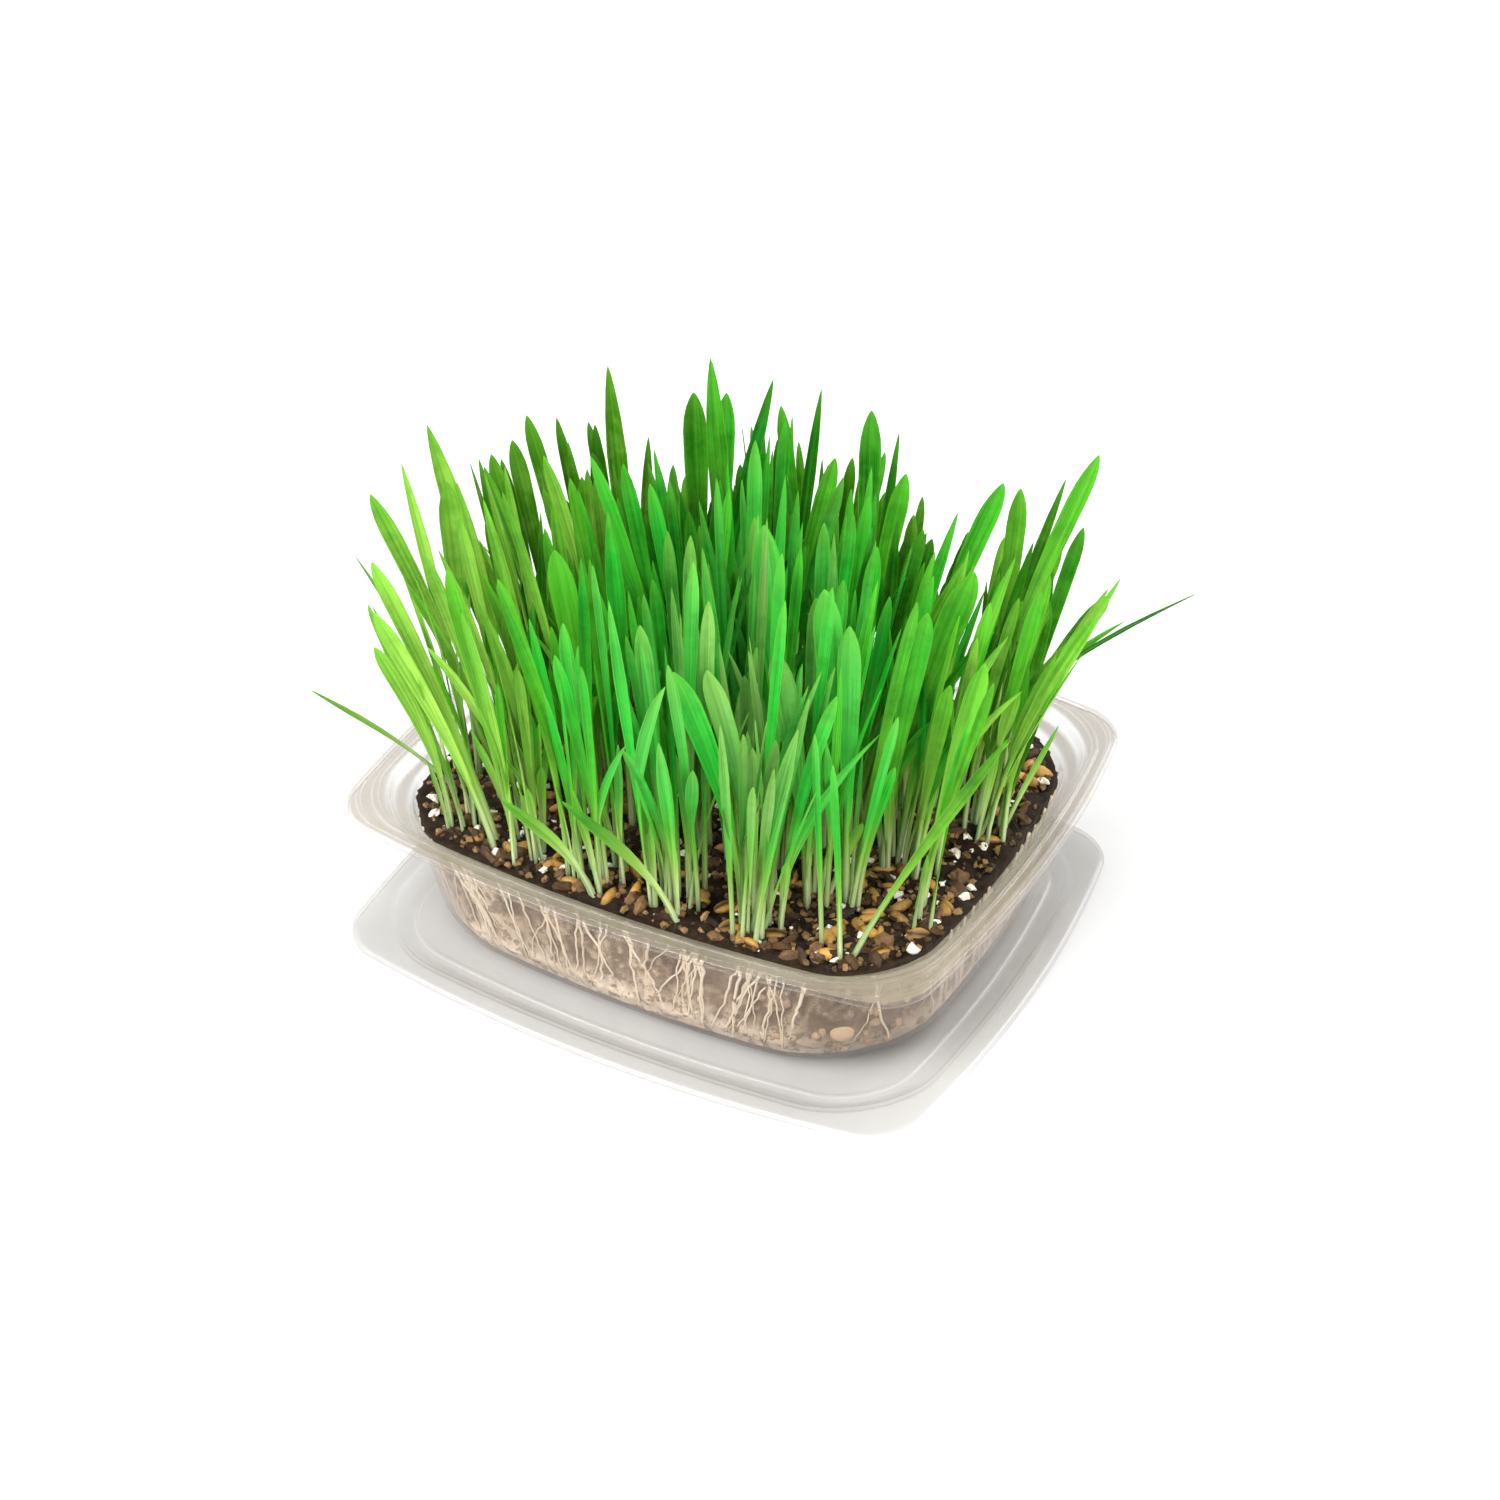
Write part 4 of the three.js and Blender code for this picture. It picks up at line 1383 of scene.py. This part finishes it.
        # painted light and shade on the left: lighter low down, darker high up
        drift = 0.3 * np.clip(1 - height / 45, 0, 1) - 0.6 * np.clip(height / 50 - 1, 0, 1)
        tone = tone[:, None] + drift * np.clip(1.5 * left, 0, 1)[:, None]
        set_values(piece, tone=np.clip(tone, 0, 1), rise=np.clip((height + 1) / 70, 0, 1),
                   hue=np.repeat(np.clip(hue, 0, 1), height.shape[1]))

    def build(self, finish: Leaf) -> None:
        """Builds a piece for every tuft.

        Args:
            finish: Their finish.
        """
        tufts = self.grow()
        material = finish.material()
        random = np.random.default_rng(SEED + 7)
        for number, tuft in enumerate(tufts, start=1):
            leaves = self.dress(tuft, random)
            points = np.stack([leaf.points() for leaf in leaves])
            faces = copied_faces(leaves[0].faces(), *points.shape[:2])
            piece = make_piece(f"grass_{number:02d}", points + TUB_SHIFT, faces, material)
            self.paint(piece, leaves, points[..., 2] - SOIL_TOP, random)
            uv = np.concatenate([leaf.uv() for leaf in leaves])
            set_uv(piece, uv)
            mark_sharp(piece, ((uv[:, 0] != 0.5) | (uv[:, 1] == 1)) & (uv[:, 1] > 0.3))
            settle(piece, f"tuft_{number:02d}")


# ---------- soil, roots and loose bits ----------


@dataclass
class SoilBed:
    """The growing mix: a crumbly top and sides matted with roots."""

    levels: int = 46
    rings: int = 84
    arc_steps: int = 36
    side_steps: int = 74
    relief: float = 1.7
    side_relief: float = 1.1
    run_length: float = 520.0

    def side_surface(self, heights: Array, out: float = 0.0) -> Array:
        """The soil's side as fine outlines.

        Args:
            heights: Heights above the tub's underside, one for each outline.
            out: How far the outlines lie outside the soil.

        Returns:
            Points (heights, n, 2).
        """
        inset, radius, z, _ = SOIL_PROFILE.T
        rows = zip(np.interp(heights, z, inset) - out, np.interp(heights, z, radius), heights)
        return np.stack([outline(Station(*row), 100, 200) for row in rows])

    def strands(self, run: Array, depth: Array) -> Array:
        """How much root covers places on the side, from 0 to 1.

        Thin ridges of wandering noises that are stretched downwards, more of them lower.

        Args:
            run: The places' run round the wall.
            depth: Their depth below the soil's edge.

        Returns:
            The cover.
        """
        wander = 2.2 * value_noise(run, depth * 1.4, 13.0, 51)
        covered = np.zeros(run.shape)
        for seed, pitch, way in ((61, 2.8, 1), (67, 1.5, -1), (71, 4.4, 1)):
            ridge = value_noise(run + wander * way, depth * 0.09 * pitch, pitch, seed)
            covered = np.maximum(covered, np.clip(1.1 - 5.5 * np.abs(ridge), 0, 1))
        patchy = 0.55 + 0.45 * value_noise(run, depth * 0.6, 17.0, 79)
        return np.clip(covered * patchy + 0.3 * np.clip(depth - 12, 0, 20) / 20, 0, 1)

    def wall(self) -> Array:
        """The side's plain rings, evenly spaced along its profile.

        Returns:
            Points (levels, n, 3).
        """
        lengths = np.hypot(np.diff(SOIL_PROFILE[:, 0]), np.diff(SOIL_PROFILE[:, 2]))
        place = np.concatenate([[0], np.cumsum(lengths)])
        fine = np.linspace(0, place[-1], self.levels)
        stations = zip(*(np.interp(fine, place, column) for column in SOIL_PROFILE.T))
        return level_rings([Station(*row) for row in stations], self.arc_steps, self.side_steps,
                           TUB_FLOOR)

    def top(self, edge: Array) -> tuple[Array, Array]:
        """The top: the edge drawn in to the middle as shrinking rings, with crumbs.

        Args:
            edge: The soil's edge (n, 2).

        Returns:
            Points (rings - 1, n, 3), and the crumbs' heights before they are scaled.
        """
        shares = (1 - np.linspace(0, 1, self.rings)[1:] ** 0.9 * 0.985)[:, None]
        flat = edge * shares[..., None]
        x, y = flat[..., 0], flat[..., 1]
        bumps = (0.6 * crumb_field(flat, 2.8, 11) + 0.35 * crumb_field(flat, 1.6, 23)
                 + 0.3 * value_noise(x, y, 11.0, 31) + 0.25 * value_noise(x, y, 4.0, 37))
        settle_in = 0.35 + 0.65 * np.clip((1 - shares) * 30, 0, 1)
        z = SOIL_TOP + self.relief * (bumps - 0.35) * settle_in
        return np.concatenate([flat, z[..., None]], axis=2), bumps

    def build(self, finish: Soil) -> None:
        """Presses the gaps between the roots into the side, and closes top and floor.

        The roots are fewer and the mix barer round the corner where no grass grows.

        Args:
            finish: Its finish.
        """
        wall = self.wall()
        top, bumps = self.top(wall[-1, :, :2])
        levels, count = wall.shape[:2]
        run = np.tile(np.arange(count) / count * self.run_length, (levels, 1))
        depth = SOIL_TOP - wall[..., 2]
        away = np.linalg.norm(wall[..., :2] - np.array(BARE_CORNER), axis=2) / BARE_RADIUS
        bare = np.exp(-away**2)
        strand = self.strands(run, depth) * (1 - 0.6 * bare)
        normal = wall[..., :2] / np.linalg.norm(wall[..., :2], axis=2, keepdims=True)
        fade = np.clip((wall[..., 2] - TUB_FLOOR - 2) / 3, 0, 1)
        wall[..., :2] -= normal * ((1 - strand) * self.side_relief * fade)[..., None]
        poles = np.array([[0, 0, wall[0, 0, 2]], [0, 0, top[-1, :, 2].mean()]])
        points = np.concatenate([wall.reshape(-1, 3), top.reshape(-1, 3), poles]) + TUB_SHIFT
        piece = make_piece("growing_mix", points, closed_faces(levels + len(top), count),
                           finish.material())
        ragged = 3.2 * value_noise(run, depth, 9.0, 83)
        rooted = np.clip((depth + ragged - 4.0) / 3.5, 0, 1) * (1 - 0.4 * bare)
        # the share of the pale foot, partly painted light, less of it round the bare corner
        shallow = np.clip((depth - 20) / 12, 0, 1) * (1 - 0.75 * bare)
        above = (0, len(points) - depth.size)
        # painted shade for the top: crest is low in the hollows between the crumbs
        crest = np.clip(bumps * 1.5 + 0.25, 0, 1).ravel()
        set_values(piece, root_mat=np.pad(rooted.ravel(), above), lower=np.pad(shallow.ravel(), above),
                   strand=np.pad(strand.ravel(), above),
                   crest=np.pad(crest, (depth.size, len(poles)), constant_values=1))
        settle(piece, "soil")


@dataclass
class Roots:
    """Fine pale roots that run down between the soil and the wall."""

    count: int = 300
    steps: int = 14
    levels: int = 40

    def tube(self, start: float, heights: Array, surface: Array,
             random: Generator) -> Array:
        """One root: a four-sided profile up a wandering path on the soil's side.

        Args:
            start: Where it starts, as a share of the way round.
            heights: The heights of the side's outlines.
            surface: The outlines.
            random: The draws.

        Returns:
            Rings of points (steps, 4, 3), the lowest first.
        """
        top = SOIL_TOP - TUB_FLOOR - random.uniform(0.5, 6)
        bottom = random.uniform(2.0, 16.0) if random.random() < 0.5 else random.uniform(2, 5)
        z = np.linspace(top, bottom, self.steps)
        drift = np.cumsum(random.normal(0, 0.0006, self.steps))
        drift += random.normal(0, 0.0007) * np.arange(self.steps)
        count = surface.shape[1]
        at = np.floor(((start + drift) % 1.0) * count).astype(int) % count
        level = np.interp(z, heights, np.arange(len(heights)))
        low = np.floor(level).astype(int).clip(0, len(heights) - 2)
        part = (level - low)[:, None]
        flat = surface[low, at] * (1 - part) + surface[low + 1, at] * part
        inward = -flat / np.linalg.norm(flat, axis=1, keepdims=True)
        along = left_of(inward)
        thick = (random.uniform(0.2, 0.55) * np.linspace(1.15, 0.6, self.steps))[:, None]
        middle = flat + inward * (random.uniform(0.1, 0.5) + thick)
        corners = [middle + way * thick for way in (along, inward, -along, -inward)]
        rise = np.repeat((z + TUB_FLOOR)[:, None, None], 4, axis=1)
        return np.concatenate([np.stack(corners, axis=1), rise], axis=2)[::-1]

    def build(self, finish: Crumb, bed: SoilBed) -> None:
        """Draws the roots, most of those in the bare corner left out.

        Args:
            finish: Their finish.
            bed: The soil.
        """
        random = np.random.default_rng(SEED + 31)
        heights = np.linspace(TUB_FLOOR + 1.5, SOIL_TOP - TUB_FLOOR - 0.5, self.levels)
        surface = bed.side_surface(heights, 0.1)
        count = surface.shape[1]
        tubes, tones = [], []
        for _ in range(self.count):
            start = random.random()
            first = surface[-1, int(start * count) % count]
            if math.dist(first, BARE_CORNER) < 0.8 * BARE_RADIUS and random.random() < 0.7:
                continue
            tubes.append(self.tube(start, heights, surface, random))
            tones.append(random.random())
        size = self.steps * 4
        faces = [loft_faces(self.steps, 4)[:, ::-1], np.array([[0, 1, 2, 3]]),
                 np.array([[size - 1, size - 2, size - 3, size - 4]])]
        piece = make_piece("roots", np.stack(tubes) + TUB_SHIFT,
                           copied_faces(faces, len(tubes), size), finish.material())
        set_values(piece, tone=np.repeat(tones, size))
        settle(piece)


def ball(levels: int, rounds: int, taper: float = 1.0,
         crease: float = 0.0) -> tuple[Array, Array]:
    """A ball of half size 1 by rings along X, then its two poles.

    Args:
        levels: Number of rings.
        rounds: Points in a ring.
        taper: The power that makes its ends slimmer.
        crease: The depth of the furrow along one side.

    Returns:
        Its points, and their angles about X.
    """
    polar = np.linspace(0, math.pi, levels + 2)[1:-1, None]
    turn = np.tile(np.arange(rounds) / rounds * FULL_TURN, (levels, 1))
    dent = 1 - crease * np.clip(np.cos(turn - math.pi / 2), 0, 1) ** 6
    radius = np.sin(polar) ** taper * dent
    points = np.stack([-np.cos(polar) + 0 * turn, radius * np.cos(turn), radius * np.sin(turn)],
                      axis=-1)
    return np.concatenate([points.reshape(-1, 3), [[-1, 0, 0], [1, 0, 0]]]), np.append(turn, [0, 0])


def turns(axis: int, angle: Array) -> Array:
    """Rotations about one axis.

    Args:
        axis: 0 for X, 1 for Y and 2 for Z.
        angle: The angles (n,).

    Returns:
        Matrices (n, 3, 3).
    """
    first, second = (axis + 1) % 3, (axis + 2) % 3
    matrices = np.tile(np.eye(3), (len(angle), 1, 1))
    matrices[:, first, first] = matrices[:, second, second] = np.cos(angle)
    matrices[:, first, second] = -np.sin(angle)
    matrices[:, second, first] = np.sin(angle)
    return matrices


@dataclass
class LooseBits:
    """Many small closed bits of one kind, scattered on the soil."""

    name: str
    count: int
    size: tuple[float, float, float]
    size_range: tuple[float, float]
    rough: float
    seed: int
    sink: float
    crease: float = 0.0
    taper: float = 1.0
    band: float = 1000.0
    bare_share: float = 0.4
    rounds: int = 5
    levels: int = 3
    smooth: bool = False

    def places(self, random: Generator) -> Array:
        """Places on the soil: a share in the bare corner, the rest anywhere inside the edge.

        Args:
            random: The draws.

        Returns:
            Places (count, 2).
        """
        edge = outline(Station(SOIL_INSET + 1.5, 22, 0), 8, 12)
        corner = [HALF_LENGTH, HALF_WIDTH]
        kept = []
        while len(kept) < self.count:
            spot = random.uniform(np.negative(corner), corner)
            inside = self.size[0] * 0.5 < edge_distance(edge, spot) < self.band
            bare = math.dist(spot, BARE_CORNER) < BARE_RADIUS + 12
            if inside and (bare or random.random() > self.bare_share):
                kept.append(spot)
        return np.array(kept)

    def build(self, finish: Crumb) -> None:
        """Turns and scales one ball for every place, all bits in one mesh.

        Args:
            finish: Their finish.
        """
        random = np.random.default_rng(SEED + self.seed)
        unit, around = ball(self.levels, self.rounds, self.taper, self.crease)
        spots = self.places(random)
        count, size = len(spots), len(unit)
        scale = random.uniform(*self.size_range, (count, 1, 1)) * np.array(self.size) / 2
        jitter = 1 + self.rough * random.normal(0, 1, (count, size, 1))
        bits = unit[None] * scale * np.clip(jitter, 0.55, 1.5)
        roll, tilt = random.uniform(0, FULL_TURN, count), random.normal(0, 0.25, count)
        spin = random.uniform(0, FULL_TURN, count)
        turned = np.einsum("nij,njk,nkl,npl->npi", turns(2, spin), turns(1, tilt), turns(0, roll),
                           bits)
        lift = (1 - 2 * self.sink) * scale[:, :, 2] + 0.3 * random.random((count, 1))
        turned[..., 2] += SOIL_TOP + lift
        turned[..., :2] += spots[:, None]
        faces = copied_faces(closed_faces(self.levels, self.rounds), count, size)
        piece = make_piece(self.name, turned + TUB_SHIFT, faces, finish.material(), self.smooth)
        # painted shade in the crease and darker ends, for grains only
        furrow = np.clip(np.cos(around - math.pi / 2), 0, 1) ** 4 + 0.8 * np.abs(unit[:, 0]) ** 6
        set_values(piece, tone=np.repeat(random.random(count), size),
                   furrow=np.tile(np.clip(furrow, 0, 1) * (self.crease > 0), count))
        settle(piece)


@dataclass
class WallBits:
    """Bits of bark and one pebble that show behind the wall of the bare corner."""

    count: int = 70
    middle: float = 0.795
    spread: float = 0.035
    thick: float = 0.9
    pebble_place: tuple[float, float] = (0.7817, 12.0)
    pebble_half: tuple[float, float] = (3.3, 2.9)
    levels: int = 7
    rounds: int = 12

    def build(self, finish: Crumb, bed: SoilBed) -> None:
        """Presses flattened balls into the soil's side, the pebble first.

        Args:
            finish: Their finish.
            bed: The soil.
        """
        random = np.random.default_rng(SEED + 67)
        place = random.normal(self.middle, self.spread, self.count).clip(0.7, 0.93)
        height = random.uniform(4, 31, self.count)
        half = random.uniform(0.5, 1.0, self.count)[:, None] * random.uniform(1, 2, (self.count, 2))
        place[0], height[0] = self.pebble_place
        half[0] = self.pebble_half
        surface = bed.side_surface(height)
        each = np.arange(self.count)
        at = (place * surface.shape[1]).astype(int)
        flat = surface[each, at]
        along = surface[each, at + 1] - flat
        along /= np.linalg.norm(along, axis=1, keepdims=True)
        unit = ball(self.levels, self.rounds)[0]
        jitter = 1 + 0.08 * random.normal(0, 1, (self.count, len(unit)))
        jitter[0] = 1
        run, deep, up = (unit[None, :, k] * jitter for k in range(3))
        deep = (deep + 1.1) * np.minimum(self.thick, half[:, :1])
        level = flat[:, None] + along[:, None] * (run * half[:, :1])[..., None]
        level += left_of(along)[:, None] * deep[..., None]
        rise = (height + TUB_FLOOR)[:, None] + up * half[:, 1:]
        faces = copied_faces(closed_faces(self.levels, self.rounds), self.count, len(unit))
        whole = np.concatenate([level, rise[..., None]], axis=2) + TUB_SHIFT
        piece = make_piece("wall_bits", whole, faces, finish.material())
        tone = random.random(self.count) ** 0.5
        tone[0] = 0
        set_values(piece, tone=np.repeat(tone, len(unit)))
        settle(piece)


# ---------- studio ----------


@dataclass
class Studio:
    """A pale floor, soft lights and the camera."""

    azimuth: float = 28.912
    elevation: float = 34.464
    distance: float = 649.73
    target: tuple[float, float, float] = (4.79, 0.0, 52.32)
    focal_px: float = 2370.5
    frame_px: float = 1500.0
    sensor: float = 36.0
    floor_half: float = 3000.0
    floor_z: float = -0.05
    room: float = 0.92

    def floor(self) -> None:
        """A wide, pale, slightly satin floor just under the lid."""
        nodes = Coat("pale_floor")
        place = nodes.add("TexCoord").outputs["Object"]
        noise = nodes.add("TexNoise", {"Vector": place, "Scale": 3.0}).outputs[0]
        nodes.feed(nodes.shader, {"Base Color": nodes.mix(noise, (205, 205, 205), (208, 208, 208)),
                                  "Roughness": 0.6})
        half = self.floor_half
        corners = np.array([[x * half, y * half, self.floor_z]
                            for x, y in ((-1, -1), (1, -1), (1, 1), (-1, 1))])
        make_piece("floor", corners, [np.array([[0, 1, 2, 3]])], nodes.material)

    def aim(self, towards: Array) -> tuple[float, float, float]:
        """Euler angles that point an object's -Z along a direction, with no roll."""
        x, y, z = towards / np.linalg.norm(towards)
        return (math.acos(-z), 0.0, math.atan2(y, x) - math.pi / 2)

    def lights(self) -> None:
        """Far, wide lights, even over the whole floor.

        Each has a place that it shines from, how wide it looks in degrees, and its strength.
        """
        for name, place, spread, strength in (
                ("key", (-0.55, -0.75, 1.05), 36.0, 3.6), ("fill", (0.95, -0.65, 0.62), 40.0, 2.2),
                ("rim", (0.3, 1.0, 0.9), 34.0, 1.7)):
            lamp = bpy.data.lights.new(name, "SUN")
            lamp.angle = math.radians(spread)
            lamp.energy = strength
            holder = add_object(name, lamp)
            holder.location = place
            holder.rotation_euler = self.aim(-np.array(place))

    def camera(self) -> None:
        """The camera: azimuth and elevation round the target, no shift, no blur."""
        azimuth, elevation = math.radians(self.azimuth), math.radians(self.elevation)
        back = np.array([math.sin(azimuth) * math.cos(elevation),
                         -math.cos(azimuth) * math.cos(elevation), math.sin(elevation)])
        data = bpy.data.cameras.new("camera")
        data.sensor_fit = "HORIZONTAL"
        data.sensor_width = self.sensor
        data.lens = self.focal_px / self.frame_px * self.sensor
        data.clip_start = 0.01
        data.clip_end = 20.0
        camera = add_object("camera", data)
        camera.location = (np.array(self.target) + back * self.distance) * MM
        camera.rotation_euler = self.aim(-back)
        bpy.context.scene.camera = camera

    def build(self) -> None:
        """Builds the studio and its pale room."""
        self.floor()
        self.camera()
        self.lights()
        bpy.context.scene.view_settings.view_transform = "Standard"
        world = bpy.data.worlds.new("soft_room")
        world.use_nodes = True
        backdrop = next(n for n in world.node_tree.nodes if n.type == "BACKGROUND")
        backdrop.inputs["Color"].default_value = (1, 1, 1, 1)
        backdrop.inputs["Strength"].default_value = self.room
        bpy.context.scene.world = world


def main() -> None:
    """Builds every sub-assembly in order."""
    logging.basicConfig(level=logging.INFO, format="%(name)s: %(message)s")
    mottle = mottle_group()
    bed = SoilBed()
    FormedSheet("saucer_lid", "lid", LID_PROFILE, np.zeros(3)).build(
        ClearPlastic("clear_lid", mottle, 0.05, 0.8, 0.18, (134, 130, 123)))
    FormedSheet("clear_tub", "tub", TUB_PROFILE, TUB_SHIFT + (0, 0, TUB_FLOOR)).build(
        ClearPlastic("clear_tub", mottle, 0.04, 0.5, 0.37, (136, 123, 109)))
    bed.build(Soil("moist_mix", mottle))
    Roots().build(Crumb("root_skin", mottle, (226, 212, 190), (204, 186, 160), (178, 156, 130),
                        0.6, 0.2), bed)
    LooseBits("grains", 230, (7.2, 3.7, 3.3), (0.75, 1.12), 0.03, 41, 0.36, crease=0.45,
              taper=1.2, bare_share=0.1, rounds=12, levels=5, smooth=True).build(
        Crumb("grain_husk", mottle, (178, 128, 56), (104, 68, 28), (206, 168, 96), 0.4, 0.4))
    LooseBits("perlite", 320, (2.2, 1.8, 1.5), (0.25, 1.7), 0.3, 43, 0.32, rounds=6).build(
        Crumb("perlite_white", mottle, (250, 246, 238), (226, 214, 194), (200, 186, 166), 0.75, 0.5))
    LooseBits("bark", 800, (3.8, 2.4, 1.8), (0.4, 1.6), 0.26, 47, 0.35).build(
        Crumb("bark_brown", mottle, (24, 15, 9), (92, 64, 38), (14, 9, 5), 0.7, 0.6))
    LooseBits("crumbs", 3000, (1.6, 1.3, 1.2), (0.5, 1.7), 0.26, 53, 0.3, levels=2).build(
        Crumb("crumb_brown", mottle, (22, 14, 9), (160, 124, 78), (50, 34, 20), 0.7, 0.6))
    LooseBits("chips", 60, (5.6, 4.2, 3.0), (0.5, 1.2), 0.12, 59, 0.42, band=9.0,
              bare_share=0.6, rounds=7, levels=4).build(
        Crumb("chip_brown", mottle, (60, 42, 27), (130, 96, 62), (36, 25, 16), 0.65, 0.5))
    WallBits().build(Crumb("wall_bit_tan", mottle, (188, 156, 124), (82, 64, 48), (134, 108, 84),
                           0.7, 0.4), bed)
    Grass().build(Leaf("leaf_green", mottle))
    Studio().build()


if __name__ == "__main__":
    main()
